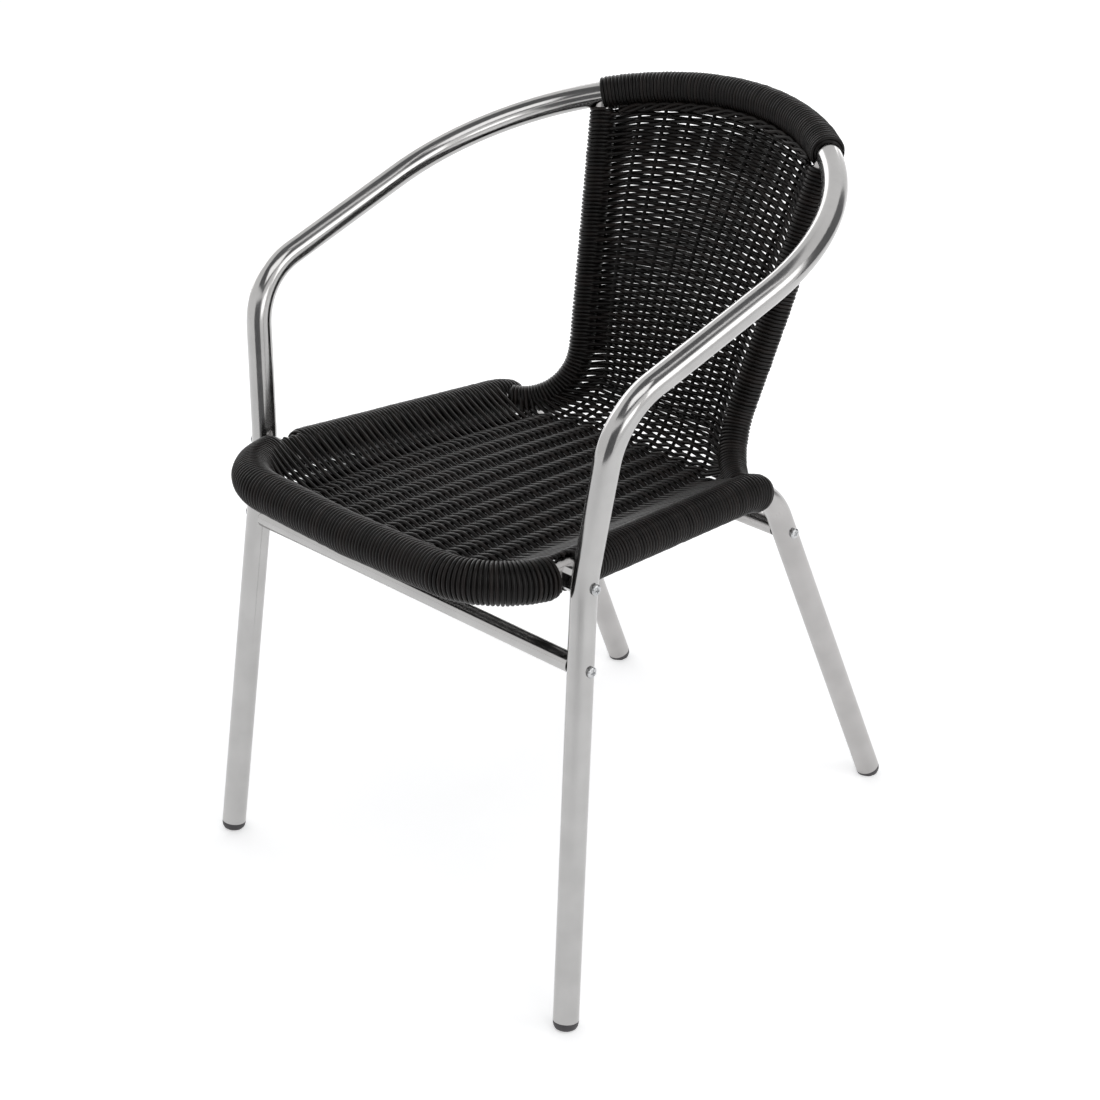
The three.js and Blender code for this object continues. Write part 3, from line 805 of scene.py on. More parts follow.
@dataclass(frozen=True)
class Winding:
    """Cane wound tightly on a tube, turn by turn, on a dark base that fills the grooves; the base's
    darker tone is painted shade.
    """

    route: Route
    tube_radius: float
    crest: float  # the outer radius, and then the same at the two ends
    start_crest: float
    end_crest: float
    seed: int
    taper: float = 5.0  # over which the crest rises to its full size
    cane: Cane = Cane()
    around: int = 30  # points in a turn
    arc: tuple[float, ...] = (-100.0, -66.0, -33.0, 0.0, 33.0, 66.0, 100.0)
    slip: float = 0.16  # mm, along the tube, from turn to turn
    swell: float = 0.12  # mm, off the tube
    base_depth: float = 0.62  # of the cane's diameter, below the crest
    base_inset: float = 0.4  # of the cane's diameter, at each end
    base_step: float = 3.0
    base_sides: int = 30
    # a fixed dark tone for the base: painted shade in the grooves between the turns
    shaded_base_tone: float = 0.1

    def _crest_at(self, distances: np.ndarray) -> np.ndarray:
        """The winding's outer radius at some distances, drawn in at its two ends."""
        place = distances / MM
        ends = (
            (self.start_crest, place),
            (self.end_crest, self.route.length / MM - place),
        )
        start, end = (
            low + (self.crest - low) * np.sin(np.clip(depth / self.taper, 0, 1) * math.pi / 2)
            for low, depth in ends
        )
        return np.minimum(start, end) * MM

    def build(self, name: str, finish: Material, node: str) -> None:
        """Makes the winding in place of a CAD node."""
        rng = np.random.default_rng(self.seed)
        skin = Skin(name)
        length = self.route.length
        turns = max(1, round(length / (self.cane.pitch * MM)) - 1)
        pitch = length / (turns + 1)
        steps = turns * self.around + 1
        turn = np.arange(steps) / self.around
        whole = np.arange(turns + 1)
        slip = np.interp(turn, whole, rng.normal(0, self.slip * MM, turns + 1))
        swell = np.interp(turn, whole, rng.normal(0, self.swell * MM, turns + 1))
        distances = pitch / 2 + turn * pitch + slip
        places, tangents, normals, binormals = self.route.frames_at(distances)
        angle = math.tau * turn[:, None]
        outward = np.cos(angle) * normals + np.sin(angle) * binormals
        half = self.cane.radius * MM
        arc = np.radians(self.arc)
        across = half * np.sin(arc)
        height = half * np.cos(arc)
        root = self._crest_at(distances) - half + swell
        points = (
            places[:, None]
            + across[None, :, None] * tangents[:, None]
            + (root[:, None] + height)[..., None] * outward[:, None]
        )
        travel = (root * math.tau / self.around).cumsum()
        lay = np.broadcast_arrays(across[None, :], height[None, :], travel[:, None])
        lay = np.stack(lay, -1)
        # Each turn is a strand of its own, with its own tone.
        for first in range(0, steps - 1, self.around):
            rows = slice(first, first + self.around + 1)
            skin.add(points[rows, ::-1], lay[rows, ::-1], float(rng.uniform(0, 1)))
        self._add_base(skin)
        fitted(skin.built(finish), "cane", node)

    def _add_base(self, skin: Skin) -> None:
        """Adds the base under the turns, with a shoulder down to the tube at each end."""
        along = self.route.spaced(self.base_step * MM)
        base = self._crest_at(along) - self.base_depth * self.cane.diameter * MM
        inset = self.base_inset * self.cane.diameter * MM
        start, end = along[0] + inset, along[-1] - inset
        inner = (along > start + MM) & (along < end - MM)
        tube = self.tube_radius * MM
        distances = np.concatenate([[start, start], along[inner], [end, end]])
        radii = np.concatenate([[tube, base[0]], base[inner], [base[-1], tube]])
        radii = np.maximum(radii, tube)
        # The base's dark tone is painted shade in the grooves between the turns.
        add_tube(skin, self.route, radii, self.base_sides, self.shaded_base_tone, along=distances)


@dataclass(frozen=True)
class StakePlan:
    """Where the stakes run. A place counts stakes from the middle one, and may lie between two."""

    post: BackPost
    long_stakes: int = 4  # that go up the back, on each side of the middle one
    seat_stakes: int = 5  # in the seat, on each side of the middle one
    radius: float = 2.0
    front_pitch: float = 27.1
    seat_pitch: float = 27.8
    knee_pitch: float = 25.0
    foot_gap: float = 9.5
    middle_gap: float = 12.7
    rail_gap: float = 12.0
    front: tuple[float, float] = (-281.0, 427.5)
    seat: tuple[float, float] = (-75.0, 411.5)
    seat_bend: float = 900.0
    knee: tuple[float, float] = (97.0, 394.5)
    foot: tuple[float, float] = (131.4, 418.6)
    turn_bend: float = 58.0
    depth: float = 3.7
    back_bend: float = 900.0

    def _share(self, place: float) -> float:
        """How far out a place is in the back, from the middle to the post."""
        return place / (self.long_stakes + 1)

    def _knee(self, place: float) -> Corner:
        """Where a stake's line begins to turn up, behind the seat."""
        return place * self.knee_pitch, *self.knee

    def _foot(self, place: float) -> Corner:
        """Where a stake's line stands up, at the foot of the back, nearer to the middle."""
        return self._share(place) * (self.post.corner[0] - self.foot_gap), *self.foot

    def route(self, place: float) -> Route:
        """The line of a stake, or of the weave between two, from the front rail to the top rail."""
        share = self._share(place)
        main = self.post.main
        x, y, z = self.post.middle
        corners = [
            (place * self.front_pitch, *self.front),
            (place * self.seat_pitch, *self.seat),
            self._knee(place),
            self._foot(place),
            (share * (x - self.middle_gap), y + self.depth * (1 - share**2), z),
            main.on_hoop(share * (self.post.top_angle - self.rail_gap / main.hoop_radius)),
        ]
        bends = [self.seat_bend, self.turn_bend, self.turn_bend, self.back_bend]
        return Route(in_frame(rounded(np.array(corners), bends)))

    def keys(self, place: float) -> np.ndarray:
        """Distances along a line that match those of the others: its ends and its two sharp bends."""
        route = self.route(place)
        knee, foot = in_frame([self._knee(place), self._foot(place)])
        return np.array([0.0, route.nearest(knee), route.nearest(foot), route.length])


@dataclass(frozen=True)
class WovenSurface:
    """The middle surface of the weave, as a table over places and rows.

    A row is named by its distance along the middle stake, in metres.
    """

    plan: StakePlan
    widest: float = 5.6
    place_step: float = 0.2
    row_step: float = 0.002

    @cached_property
    def table(self) -> tuple[np.ndarray, np.ndarray, np.ndarray, np.ndarray]:
        """Places, rows, the points at both, and the normals there, which look at the sitter."""
        places = np.arange(-self.widest, self.widest + self.place_step / 2, self.place_step)
        rows = np.arange(0.0, self.plan.route(0.0).length, self.row_step)
        middle_keys = self.plan.keys(0.0)
        points = []
        for place in places:
            along = np.interp(rows, middle_keys, self.plan.keys(float(place)))
            points.append(self.plan.route(float(place)).at(along))
        points = np.array(points)
        normals = unit(np.cross(np.gradient(points, axis=0), np.gradient(points, axis=1)))
        return places, rows, points, normals

    def _read(self, values: np.ndarray, place: np.ndarray, row: np.ndarray) -> np.ndarray:
        """A table's values between its places and rows."""
        places, rows = self.table[:2]
        across = np.clip((place - places[0]) / self.place_step, 0, len(places) - 1.001)
        along = np.clip(row / self.row_step, 0, len(rows) - 1.001)
        i, j = across.astype(int), along.astype(int)
        u, v = (across - i)[..., None], (along - j)[..., None]
        near = values[i, j] * (1 - v) + values[i, j + 1] * v
        far = values[i + 1, j] * (1 - v) + values[i + 1, j + 1] * v
        return near * (1 - u) + far * u

    def point(self, place: np.ndarray | float, row: np.ndarray | float) -> np.ndarray:
        """Points of the surface."""
        return self._read(self.table[2], np.asarray(place), np.asarray(row))

    def normal(self, place: np.ndarray | float, row: np.ndarray | float) -> np.ndarray:
        """The surface's normals, towards the sitter."""
        return unit(self._read(self.table[3], np.asarray(place), np.asarray(row)))


@dataclass(frozen=True)
class Anchor:
    """What a woven row turns round at its right end: a wound tube.

    Args:
        centre: The middle of the tube, level with the row.
        inward: The way from there to the weave, square to the tube.
        up: The way from there to the sitter, square to both.
        radius: From the tube's middle to the middle of the cane on it, in metres.
        reach: How far round the tube the row goes while it sinks, in radians.
        sink: How deep it sinks by then, in millimetres.
    """

    centre: np.ndarray
    inward: np.ndarray
    up: np.ndarray
    radius: float
    reach: float = math.radians(20)
    sink: float = 2.4

    def turned(self, start: np.ndarray, over: bool, furthest: float = math.pi) -> np.ndarray:
        """The row's way on to the tube, where it sinks among the turns.

        Args:
            start: The row's last point in the weave.
            over: True to pass on the sitter's side.
            furthest: The furthest round the tube, from its inner side, that the row lands.

        Returns:
            Points from the one where the row first touches the winding.
        """
        sign = 1.0 if over else -1.0
        offset = start - self.centre
        along, rise = offset @ self.inward, offset @ self.up * sign
        distance = max(math.hypot(along, rise), self.radius * 1.001)
        touch = min(math.atan2(rise, along) + math.acos(self.radius / distance), furthest)
        points = []
        for share in np.linspace(0, 1, 6):
            angle = touch + self.reach * share
            radius = self.radius - self.sink * MM * share
            way = self.inward * math.cos(angle) + sign * self.up * math.sin(angle)
            points.append(self.centre + radius * way)
        return np.array(points)


@dataclass(frozen=True)
class Row:
    """One row of the weave, with its distance along the middle stake and where it crosses that."""

    number: int
    level: float
    centre: np.ndarray

    @property
    def depth(self) -> float:
        """The y of the row's middle on the plan."""
        return self.centre[1] / MM - SHIFT_Y

    def over(self, stake: int) -> bool:
        """True where the row passes a stake on the sitter's side."""
        return (self.number + stake) % 2 == 0


@dataclass(frozen=True)
class Weave:
    """Cane woven over and under the stakes, row by row, from the front rail to the top rail."""

    surface: WovenSurface
    seat_tube: SeatTube
    post: BackPost
    # The rows are beaten together, so that they press on each other where they cross.
    cane: Cane = Cane(diameter=4.12, pitch=3.98)
    front_bend_y: float = -214.0  # where the front winding takes over from the side winding
    rail_start_y: float = 100.0  # the rearmost place that a row may meet on the rail
    rail_end_gap: float = 60.0  # from the front rail's middle to the last such place
    rail_gap: float = 3.0  # from the even weave to the rail
    # The places on the post of the rows before the knee, at the knee and at the foot of the back.
    post_marks: tuple[Corner, ...] = (
        (150.0, 84.0, 402.4),
        (131.0, 99.0, 403.0),
        (117.0, 117.0, 420.0),
    )
    mark_lead: float = 35.0  # from the first of these rows to the knee
    first_row: float = 18.0
    last_gap: float = 15.0
    samples: int = 9  # steps from a stake to the next
    knots: int = 9  # of a row's wobble
    step: float = 3.0  # mm along a finished strand
    sides: int = 8
    seat_end: float = 62.0  # the y where rows begin to end on the posts
    short_end: float = 78.0  # the y where rows leave out the outermost stakes
    # The strands that come back: stakes inward of the outermost one, and how deep, of the lift there.
    return_steps: tuple[tuple[float, float], ...] = ((0.45, 0.2), (0.2, 0.8), (0.0, 1.0))
    post_landing: float = math.radians(34)  # round from the post's inner side
    wobble: float = 0.06  # mm, up and down along a row
    drift: float = 0.04  # mm, of a whole row
    # Bands of closer rows: their middles, in mm from the top, half widths, and the share taken off.
    packed_bands: tuple[tuple[float, float, float], ...] = ((56.0, 17.0, 0.13), (258.0, 32.0, 0.06))
    # The plait under the top rail. It goes a little past the outermost stakes of the back.
    plait_overhang: float = 0.75
    plait_points: int = 160
    plait_turns: float = 0.6  # from a stake to the next
    plait_drop: float = 2.0  # below the last row
    plait_sway: float = 3.2
    plait_gap: float = 1.6
    plait_depth: float = 1.4

    @cached_property
    def plan(self) -> StakePlan:
        """Where the stakes run."""
        return self.surface.plan

    @property
    def lift(self) -> float:
        """How far a row's middle stands off the weave's middle surface at a stake, in metres."""
        return (self.plan.radius + self.cane.radius) * MM

    @cached_property
    def levels(self) -> np.ndarray:
        """The rows' distances along the middle stake, in metres."""
        whole = self.plan.route(0.0).length / MM
        levels = [self.first_row]
        while levels[-1] < whole - self.last_gap:
            from_top = whole - levels[-1]
            packed = sum(
                share * math.exp(-(((from_top - at) / wide) ** 4))
                for at, wide, share in self.packed_bands
            )
            levels.append(levels[-1] + self.cane.pitch * (1 - packed))
        return np.array(levels[:-1]) * MM

    @cached_property
    def rail_axes(self) -> tuple[np.ndarray, np.ndarray, np.ndarray]:
        """Points of the right rail's middle from rear to front, and there the ways inward and up."""
        route = self.seat_tube.route
        start = self.seat_tube.rail_at(self.rail_start_y)
        distances = np.linspace(start, route.length / 2 - self.rail_end_gap * MM, 260)
        places, tangents, _, _ = route.frames_at(distances)
        inward = unit(np.cross(tangents, (0.0, 0.0, -1.0)))
        inward = np.where(inward[:, :1] * places[:, :1] > 0, -inward, inward)
        up = np.cross(inward, tangents)
        return places, inward, unit(up * np.sign(up[:, 2:]))

    def rail_anchor(self, y: float) -> Anchor:
        """The side rail as a seat row meets it at a y of the frame, in metres."""
        places, inward, up = self.rail_axes
        meets = places[:, 1] + inward[:, 1] * 0.5 * SIDE_CREST * MM
        order = np.argsort(meets)
        i = order[int(np.clip(np.searchsorted(meets[order], y), 0, len(order) - 1))]
        on_front = places[i, 1] < in_frame([(0.0, self.front_bend_y, 0.0)])[0][1]
        crest = FRONT_CREST if on_front else SIDE_CREST
        return Anchor(places[i], inward[i], up[i], (crest - self.cane.radius) * MM)

    def post_anchor(self, level: float) -> Anchor:
        """The right post as a row meets it."""
        route = self.post.route
        _, knee, foot, top = self.plan.keys(0.0)
        marks = [route.nearest(place) for place in in_frame(list(self.post_marks))]
        rows = [knee - self.mark_lead * MM, knee, foot, top]
        at = np.interp(level, rows, [*marks, route.length])
        place, tangent, _, _ = (value[0] for value in route.frames_at(np.array([at])))
        outermost = float(self.plan.long_stakes)
        toward = self.surface.point(outermost, level) - place
        inward = unit(toward - tangent * (toward @ tangent))
        up = np.cross(tangent, inward)
        up = up if up @ self.surface.normal(outermost, level) > 0 else -up
        return Anchor(place, inward, unit(up), (POST_CREST - self.cane.radius) * MM)

    def _middle_points(self, row: Row, stakes: float, rng: np.random.Generator) -> np.ndarray:
        """A row's points in the weave, from the left to the right."""
        places = np.linspace(-stakes, stakes, int(round(2 * stakes * self.samples)) + 1)
        wave = 0.9 * np.cos(math.pi * places) + 0.1 * np.cos(3 * math.pi * places)
        height = self.lift * wave * (1 if row.over(0) else -1)
        knots = np.linspace(-stakes, stakes, self.knots)
        wobble = np.interp(places, knots, rng.normal(0, self.wobble * MM, self.knots))
        level = row.level + (wobble + rng.normal(0, self.drift * MM))
        return self.surface.point(places, level) + self.surface.normal(places, level) * height[:, None]

    def _cleared(self, path: np.ndarray, over: bool) -> np.ndarray:
        """Lifts a seat row's right end over the post there, or sinks it under the post."""
        clear = (self.post.maker.radius + self.cane.radius) * MM
        post = self.post.route.at(np.linspace(0, self.post.route.length / 3, 80))
        offsets = path[:, None] - post[None]
        nearest = np.linalg.norm(offsets[..., :2], axis=-1).argmin(axis=1)
        flat = np.linalg.norm(offsets[np.arange(len(path)), nearest, :2], axis=-1)
        rise = np.sqrt(np.maximum(clear**2 - flat**2, 0))
        level = post[nearest, 2]
        bound = np.maximum(path[:, 2], level + rise) if over else np.minimum(path[:, 2], level - rise)
        cleared = path.copy()
        cleared[:, 2] = np.where(flat < clear, bound, path[:, 2])
        return cleared

    def _seat_end(self, start: np.ndarray, row: Row, over: bool) -> np.ndarray:
        """A seat row's way from the weave to the right rail, over or under the post."""
        turned = self.rail_anchor(float(row.centre[1])).turned(start, over)
        straight = start + (turned[0] - start) * np.linspace(0, 1, 12)[1:-1, None]
        return self._cleared(np.vstack([straight, turned]), over)

    def _row_path(self, row: Row, rng: np.random.Generator) -> tuple[np.ndarray, Panel]:
        """The whole way of one row, with its ends on the rails or posts."""
        if row.depth < self.seat_end:
            middle = self._middle_points(row, self._seat_stakes(row), rng)
            right = self._seat_end(middle[-1], row, True)
            left = self._seat_end(middle[0] * MIRROR, row, True) * MIRROR
            return np.vstack([left[::-1], middle, right]), Panel.SEAT
        behind = row.depth >= self.short_end
        stakes = self.plan.long_stakes if behind else self.plan.seat_stakes
        middle = self._middle_points(row, float(stakes), rng)
        anchor = self.post_anchor(row.level)
        over = not row.over(stakes)
        right = anchor.turned(middle[-1], over, self.post_landing)
        left = anchor.turned(middle[0] * MIRROR, over, self.post_landing) * MIRROR
        return np.vstack([left[::-1], middle, right]), Panel.BACK

    def _seat_stakes(self, row: Row) -> float:
        """How far out a seat row's even weave goes, in stakes: less where the front rail bends in."""
        anchor = self.rail_anchor(float(row.centre[1]))
        limit = (anchor.centre + anchor.inward * anchor.radius)[0] - self.rail_gap * MM
        outermost = float(self.plan.seat_stakes)
        return outermost * min(1.0, limit / self.surface.point(outermost, row.level)[0])

    def _return_paths(self, row: Row) -> list[np.ndarray]:
        """The strands that come back under the side rails, where a row lies over the outermost stake."""
        stakes = self.plan.seat_stakes
        if row.depth >= self.seat_end or not row.over(stakes) or self._seat_stakes(row) < stakes:
            return []
        inward, deep = np.array(self.return_steps).T
        places = stakes - inward
        levels = np.full(len(places), row.level)
        sunk = self.lift * deep
        normals = self.surface.normal(places, levels)
        inner = self.surface.point(places, levels) - normals * sunk[:, None]
        right = np.vstack([inner, self._seat_end(inner[-1], row, False)])
        return [right, right * MIRROR]

    def _plait_paths(self) -> list[np.ndarray]:
        """Three strands plaited along under the top rail, in front of the last rows."""
        outer = self.plan.long_stakes + self.plait_overhang
        places = np.linspace(-outer, outer, self.plait_points)
        middle = self.levels[-1] - self.plait_drop * MM
        clear = self.plan.radius + self.cane.diameter + self.plait_gap
        paths = []
        for phase in (0.0, math.tau / 3, math.tau * 2 / 3):
            twist = places * math.tau * self.plait_turns + phase
            level = middle + self.plait_sway * MM * np.sin(twist)
            lift = (clear + self.plait_depth * np.cos(twist)) * MM
            normals = self.surface.normal(places, level)
            paths.append(self.surface.point(places, level) + normals * lift[:, None])
        return paths

    def build(self, finish: Material) -> None:
        """Makes the seat's weave and the back's weave."""
        rng = np.random.default_rng(7)
        skins = {Panel.SEAT: Skin("seat_rows"), Panel.BACK: Skin("back_rows")}
        for number, level in enumerate(self.levels):
            row = Row(number, float(level), self.surface.point(0.0, level))
            path, panel = self._row_path(row, rng)
            self._add_strand(skins[panel], path, float(rng.uniform(0, 1)))
            for strand in self._return_paths(row):
                # The strands that come back under the rails take only the darker half of the tones:
                # painted shade.
                self._add_strand(skins[Panel.SEAT], strand, float(rng.uniform(0, 0.5)))
        for path in self._plait_paths():
            self._add_strand(skins[Panel.BACK], path, float(rng.uniform(0.4, 0.9)))
        for panel, skin in skins.items():
            fitted(skin.built(finish), "cane", f"{panel.value}_weave")

    def _add_strand(self, skin: Skin, path: np.ndarray, tone: float) -> None:
        """Adds one strand of cane with rounded ends."""
        route = Route(smoothed(path))
        distances, radii = domed(route.length, self.cane.radius * MM, self.step * MM)
        add_tube(skin, route, radii, self.sides, tone, along=distances)


@dataclass(frozen=True)
class StakeSet:
    """The coated wires that the cane is woven on."""

    plan: StakePlan
    short_end: Corner = (126.4, 80.5, 396.0)  # of the right outermost stake, under the post
    front_start: float = 12.0
    top_gap: float = 12.0
    sides: int = 10

    def build(self, finish: Material) -> None:
        """Makes each wire as its own piece."""
        stakes = self.plan.seat_stakes
        for number, place in enumerate(range(-stakes, stakes + 1), start=1):
            route = self.plan.route(float(place))
            end = route.length - self.top_gap * MM
            if abs(place) > self.plan.long_stakes:
                x, y, z = self.short_end
                end = route.nearest(in_frame([(math.copysign(x, place), y, z)])[0])
            skin = Skin(f"stake_wire_{number}")
            part = route.part(self.front_start * MM, end)
            add_tube(skin, part, self.plan.radius * MM, self.sides)
            fitted(skin.built(finish), "wire", f"stake_{number}")


# The studio


@dataclass(frozen=True)
class Camera:
    """The photograph's camera, solved from the chair's tubes, in the plan's millimetres and radians."""

    place: Corner = (1643.8, -1575.7, 1529.1)
    azimuth: float = math.radians(46.74)
    elevation: float = math.radians(28.17)
    roll: float = -0.0521
    focal_pixels: float = 2551.0
    picture: float = 1100.0
    sensor: float = 36.0

    def build(self) -> None:
        """Makes the camera and gives it to the scene."""
        data = bpy.data.cameras.new("camera")
        data.sensor_width = self.sensor
        data.lens = self.focal_pixels / self.picture * self.sensor
        data.clip_start = 0.05
        data.clip_end = 50.0
        camera = bpy.data.objects.new("camera", data)
        a, e = self.azimuth, self.elevation
        ahead = Vector((-math.sin(a) * math.cos(e), math.cos(a) * math.cos(e), -math.sin(e)))
        right = Vector((math.cos(a), math.sin(a), 0.0))
        up = right.cross(ahead)
        tilted = math.cos(self.roll) * right + math.sin(self.roll) * up
        upright = math.cos(self.roll) * up - math.sin(self.roll) * right
        turn = Matrix((tilted, upright, -ahead)).transposed().to_4x4()
        camera.matrix_world = Matrix.Translation(Vector(in_frame([self.place])[0])) @ turn
        bpy.context.scene.collection.objects.link(camera)
        bpy.context.scene.camera = camera


@dataclass(frozen=True)
class Softbox:
    """A flat soft lamp that looks at a height above the chair's middle."""

    name: str
    place: Corner
    target: float
    size: tuple[float, float]
    watts: float

    def build(self) -> None:
        """Makes the lamp."""
        data = bpy.data.lights.new(self.name, "AREA")
        data.shape = "RECTANGLE"
        data.size, data.size_y = self.size
        data.energy = self.watts
        lamp = bpy.data.objects.new(self.name, data)
        lamp.location = self.place
        way = Vector((0.0, 0.0, self.target)) - Vector(self.place)
        lamp.rotation_euler = way.to_track_quat("-Z", "Y").to_euler()
        bpy.context.scene.collection.objects.link(lamp)


def staged(name: str, corners: list[Vector], paint: Material) -> bpy.types.Object:
    """Makes a flat four-cornered piece of the studio."""
    mesh = bpy.data.meshes.new(name)
    mesh.from_pydata(corners, [], [(0, 1, 2, 3)])
    mesh.materials.append(paint)
    piece = bpy.data.objects.new(name, mesh)
    bpy.context.scene.collection.objects.link(piece)
    return piece


@dataclass(frozen=True)
class Flag:
    """A grey screen that the camera doesn't see: it shows only as a dark band in the metal."""

    name: str
    place: tuple[float, float]
    width: float
    height: float

    def build(self, paint: Material) -> None:
        """Makes the screen, upright and facing the chair."""
        foot = Vector((*self.place, 0.0))
        across = Vector((-foot.y, foot.x, 0.0)).normalized() * self.width / 2
        top = foot + Vector((0.0, 0.0, self.height))
        corners = [foot - across, foot + across, top + across, top - across]
        staged(self.name, corners, paint).visible_camera = False


@dataclass(frozen=True)
class Level:
    """A level square of the studio: the floor or the ceiling."""

    name: str
    middle: Corner
    size: float

    def build(self, paint: Material) -> None:
        """Makes the square."""
        half = self.size / 2
        ways = ((-half, -half), (half, -half), (half, half), (-half, half))
        corners = [Vector(self.middle) + Vector((*way, 0.0)) for way in ways]
        staged(self.name, corners, paint)


@dataclass(frozen=True)
class Studio:
    """A plain pale floor under a grey ceiling, with soft lamps and grey screens between."""

    floor: Level = Level("floor", (0.0, 0.0, 0.0), 14.0)
    ceiling: Level = Level("ceiling", (1.4, -1.0, 4.2), 6.0)
    lamps: tuple[Softbox, ...] = (
        Softbox("key_lamp", (1.45, -0.68, 3.3), 0.5, (2.2, 1.5), 18.0),
        Softbox("left_lamp", (-2.9, 0.78, 1.3), 0.5, (2.6, 1.7), 22.0),
        Softbox("back_lamp", (-1.6, 2.8, 1.15), 0.5, (1.6, 1.6), 15.0),
        Softbox("right_lamp", (2.6, 1.25, 1.75), 0.5, (1.9, 1.3), 13.0),
        Softbox("low_right_lamp", (3.0, -0.8, 1.3), 0.5, (1.4, 0.8), 6.5),
        Softbox("strip_lamp", (1.1, 0.9, 3.4), 0.6, (0.3, 1.6), 2.0),
    )
    flags: tuple[Flag, ...] = (
        Flag("back_screen", (1.2, 2.9), 2.3, 2.4),
        Flag("front_screen", (1.7, -3.0), 3.2, 2.4),
    )

    @staticmethod
    def _seen(tree: NodeTree) -> Link:
        """One for rays that show the background: seen straight, in metal, or through glass."""
        path = put(tree, "ShaderNodeLightPath", {}, {})
        seen = (path, "Is Camera Ray")
        for ray in ("Is Glossy Ray", "Is Transmission Ray"):
            links = {0: seen, 1: (path, ray)}
            seen = (put(tree, "ShaderNodeMath", {"operation": "MAXIMUM"}, links), "Value")
        return seen

    def _floor_paint(self) -> Material:
        """A matt white floor that shows nearly white, and still takes the chair's shadow."""
        material, tree = blank("studio_floor")
        paint = put(tree, "ShaderNodeBsdfDiffuse", {"Color": linear("#f2f2f2")}, {})
        white = {"Color": linear("#ffffff"), "Strength": 0.45}
        glow = put(tree, "ShaderNodeEmission", white, {})
        both = put(tree, "ShaderNodeAddShader", {}, {0: (paint, "BSDF"), 1: (glow, "Emission")})
        links = {"Fac": self._seen(tree), 1: (paint, "BSDF"), 2: (both, "Shader")}
        mixed = put(tree, "ShaderNodeMixShader", {}, links)
        put(tree, "ShaderNodeOutputMaterial", {}, {"Surface": (mixed, "Shader")})
        return material

    @staticmethod
    def _grey_paint() -> Material:
        """Grey matt paint, which gives the metal its dark bands."""
        material, tree = blank("studio_dark_paint")
        paint = put(tree, "ShaderNodeBsdfDiffuse", {"Color": linear("#858586")}, {})
        put(tree, "ShaderNodeOutputMaterial", {}, {"Surface": (paint, "BSDF")})
        return material

    def _light_world(self) -> None:
        """White behind everything, and a softer pale light on the chair."""
        world = bpy.data.worlds.new("studio_walls")
        world.use_nodes = True
        tree = world.node_tree
        tree.nodes.clear()
        pale = put(tree, "ShaderNodeBackground", {"Color": linear("#f4f5f7"), "Strength": 0.75}, {})
        white = put(tree, "ShaderNodeBackground", {"Color": linear("#ffffff"), "Strength": 1.0}, {})
        links = {"Fac": self._seen(tree), 1: (pale, "Background"), 2: (white, "Background")}
        mixed = put(tree, "ShaderNodeMixShader", {}, links)
        put(tree, "ShaderNodeOutputWorld", {}, {"Surface": (mixed, "Shader")})
        bpy.context.scene.world = world

    def build(self) -> None:
        """Makes the floor, the ceiling, the screens, the lamps and the world."""
        self.floor.build(self._floor_paint())
        grey = self._grey_paint()
        for piece in (self.ceiling, *self.flags):
            piece.build(grey)
        for lamp in self.lamps:
            lamp.build()
        self._light_world()
        bpy.context.scene.view_settings.view_transform = "Standard"


# The chair


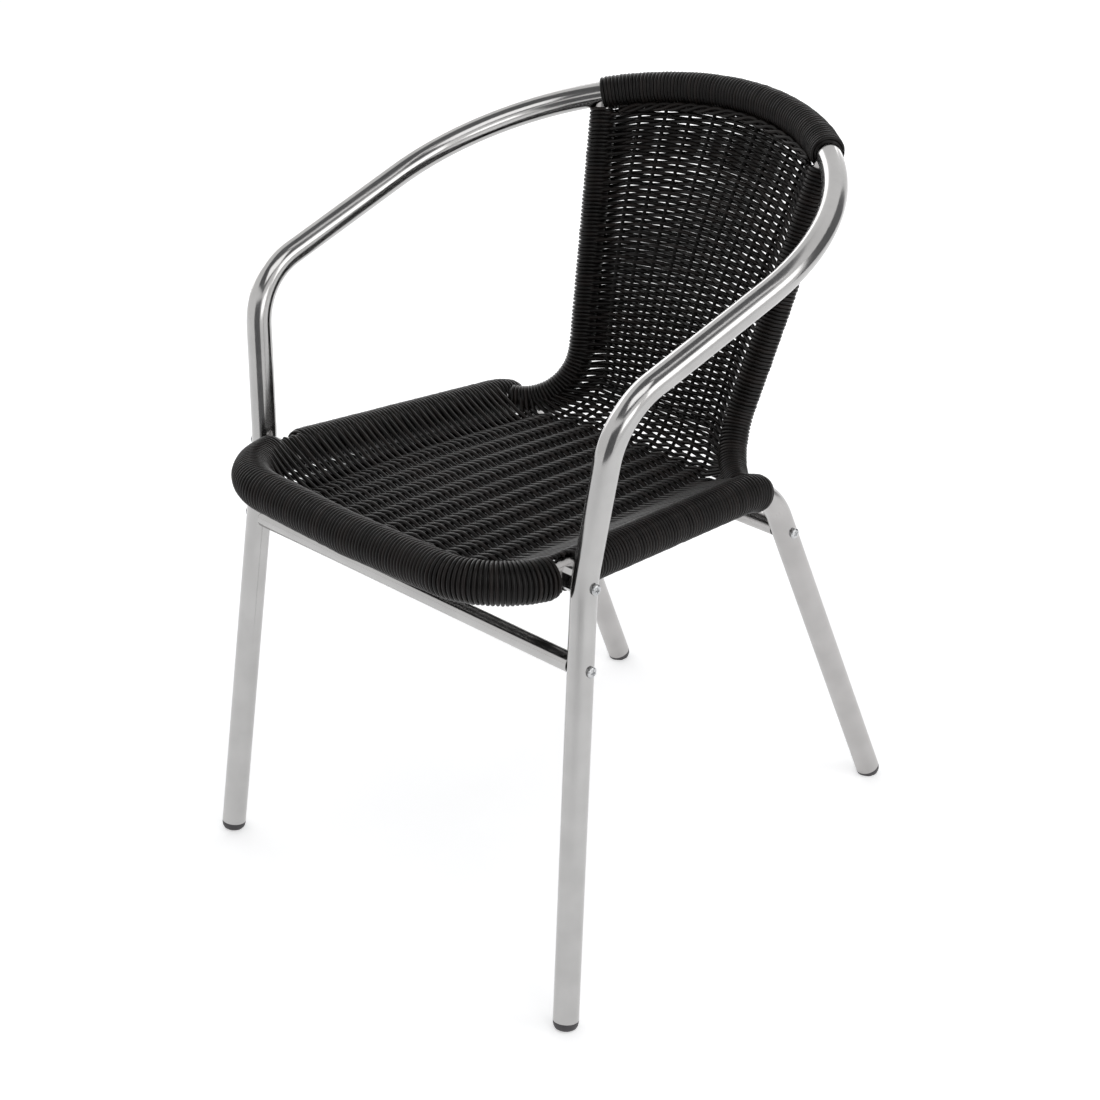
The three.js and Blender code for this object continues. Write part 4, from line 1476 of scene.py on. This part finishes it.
@dataclass(frozen=True)
class Armchair:
    """The whole chair, from its tubes to its last screw."""

    main: MainTube = MainTube()
    seat: SeatTube = SeatTube()
    plug: FootPlug = FootPlug()
    screw: PanScrew = PanScrew()
    # Where the windings end.
    top_reach: float = 0.657  # radians of the hoop, to each side of the middle
    front_gap: float = 10.5  # mm in front of the joint with the front leg
    joint_gap: float = 14.0  # mm behind it
    bend_gap: float = 6.0  # mm in front of the rear bend's corner
    post_foot_gap: float = 11.0  # mm from the post's ends
    post_top_gap: float = 14.0

    @cached_property
    def post(self) -> BackPost:
        """The right back post."""
        return BackPost(self.main)

    def build_metal(self, finishes: Finishes) -> None:
        """Makes the tubes, the stretchers and the posts."""
        main, seat = self.main, self.seat
        leg_start = (self.plug.height - self.plug.worn) * MM
        main.build(finishes.buffed, leg_start)
        seat.build(finishes.satin, leg_start)
        front = Stretcher("front_stretcher", (main.front_foot, main.waist), FRONT_STRETCHER_HEIGHT)
        front.build(finishes.buffed, "polished")
        rear = Stretcher("rear_stretcher", (seat.rear_foot, seat.rear_corner), REAR_STRETCHER_HEIGHT)
        rear.build(finishes.satin, "satin")
        for side in Side:
            self.post.build(finishes.satin, side)

    def build_hardware(self, finishes: Finishes) -> None:
        """Makes the screws and plugs, and dresses the small CAD parts that stay."""
        turns = iter(np.random.default_rng(3).uniform(0, math.pi / 2, 6))
        for name in ("front_stretcher_screw", "rear_stretcher_screw", "seat_screw"):
            for side in Side:
                self.screw.build(f"{name}_{side.label}", side, float(next(turns)), finishes.plated)
        for side in Side:
            for name, tube in (("front", self.main), ("rear", self.seat)):
                node = f"{name}_foot_plug_{side.label}"
                self.plug.build(node, tube.route, side, finishes.plug)
            for name in ("front_stretcher_insert", "rear_stretcher_insert", "seat_nut"):
                dressed(f"{name}_{side.label}", finishes.plated)
            dressed(f"seat_spacer_{side.label}", finishes.buffed)

    def build_windings(self, finishes: Finishes) -> None:
        """Winds the top rail, the front rail, the side rails and the posts."""
        seat, post = self.seat.route, self.post.route
        thick, thin = self.main.maker.radius, self.post.maker.radius
        joint = self.seat.rail_at(WAIST[1])
        bend = seat.nearest(in_frame([self.seat.rear_corner])[0])
        top = self.main.top_rail(self.top_reach)
        front = seat.part(joint + self.front_gap * MM, seat.length - joint - self.front_gap * MM)
        side = seat.part(bend + self.bend_gap * MM, joint - self.joint_gap * MM)
        pole = post.part(self.post_foot_gap * MM, post.length - self.post_top_gap * MM)
        over_top = Winding(top, thick, TOP_CREST, 15.2, 15.2, 11)
        in_front = Winding(front, thick, FRONT_CREST, 17.0, 17.0, 12, 7.0)
        windings = [
            ("top_winding", "top_rail_winding", over_top),
            ("front_winding", "front_rail_winding", in_front),
        ]
        for number, where in enumerate(Side):
            rail = Winding(side.on(where), thick, SIDE_CREST, 15.8, 16.5, 21 + number, 9.0)
            upright = Winding(pole.on(where), thin, POST_CREST, 14.0, 13.6, 31 + number)
            windings.append((f"side_winding_{where.label}", f"side_rail_winding_{where.label}", rail))
            windings.append((f"post_winding_{where.label}", f"back_post_winding_{where.label}", upright))
        for name, node, winding in windings:
            winding.build(name, finishes.cane, node)

    def build_weave(self, finishes: Finishes) -> None:
        """Sets the stakes and weaves the seat and the back."""
        plan = StakePlan(self.post)
        StakeSet(plan).build(finishes.wire)
        Weave(WovenSurface(plan), self.seat, self.post).build(finishes.cane)


def dressed(node: str, finish: Material) -> None:
    """Gives a CAD node that stays its finish."""
    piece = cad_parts[node]
    for slot in piece.material_slots:
        slot.material = finish
    LOG.info("%s keeps its CAD shape", node)


def main() -> None:
    """Builds the studio and the chair, in order."""
    logging.basicConfig(level=logging.INFO, format="%(name)s: %(message)s")
    Camera().build()
    Studio().build()
    finishes = Finishes.made()
    chair = Armchair()
    chair.build_metal(finishes)
    chair.build_hardware(finishes)
    chair.build_windings(finishes)
    chair.build_weave(finishes)
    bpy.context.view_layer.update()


if __name__ == "__main__":
    main()
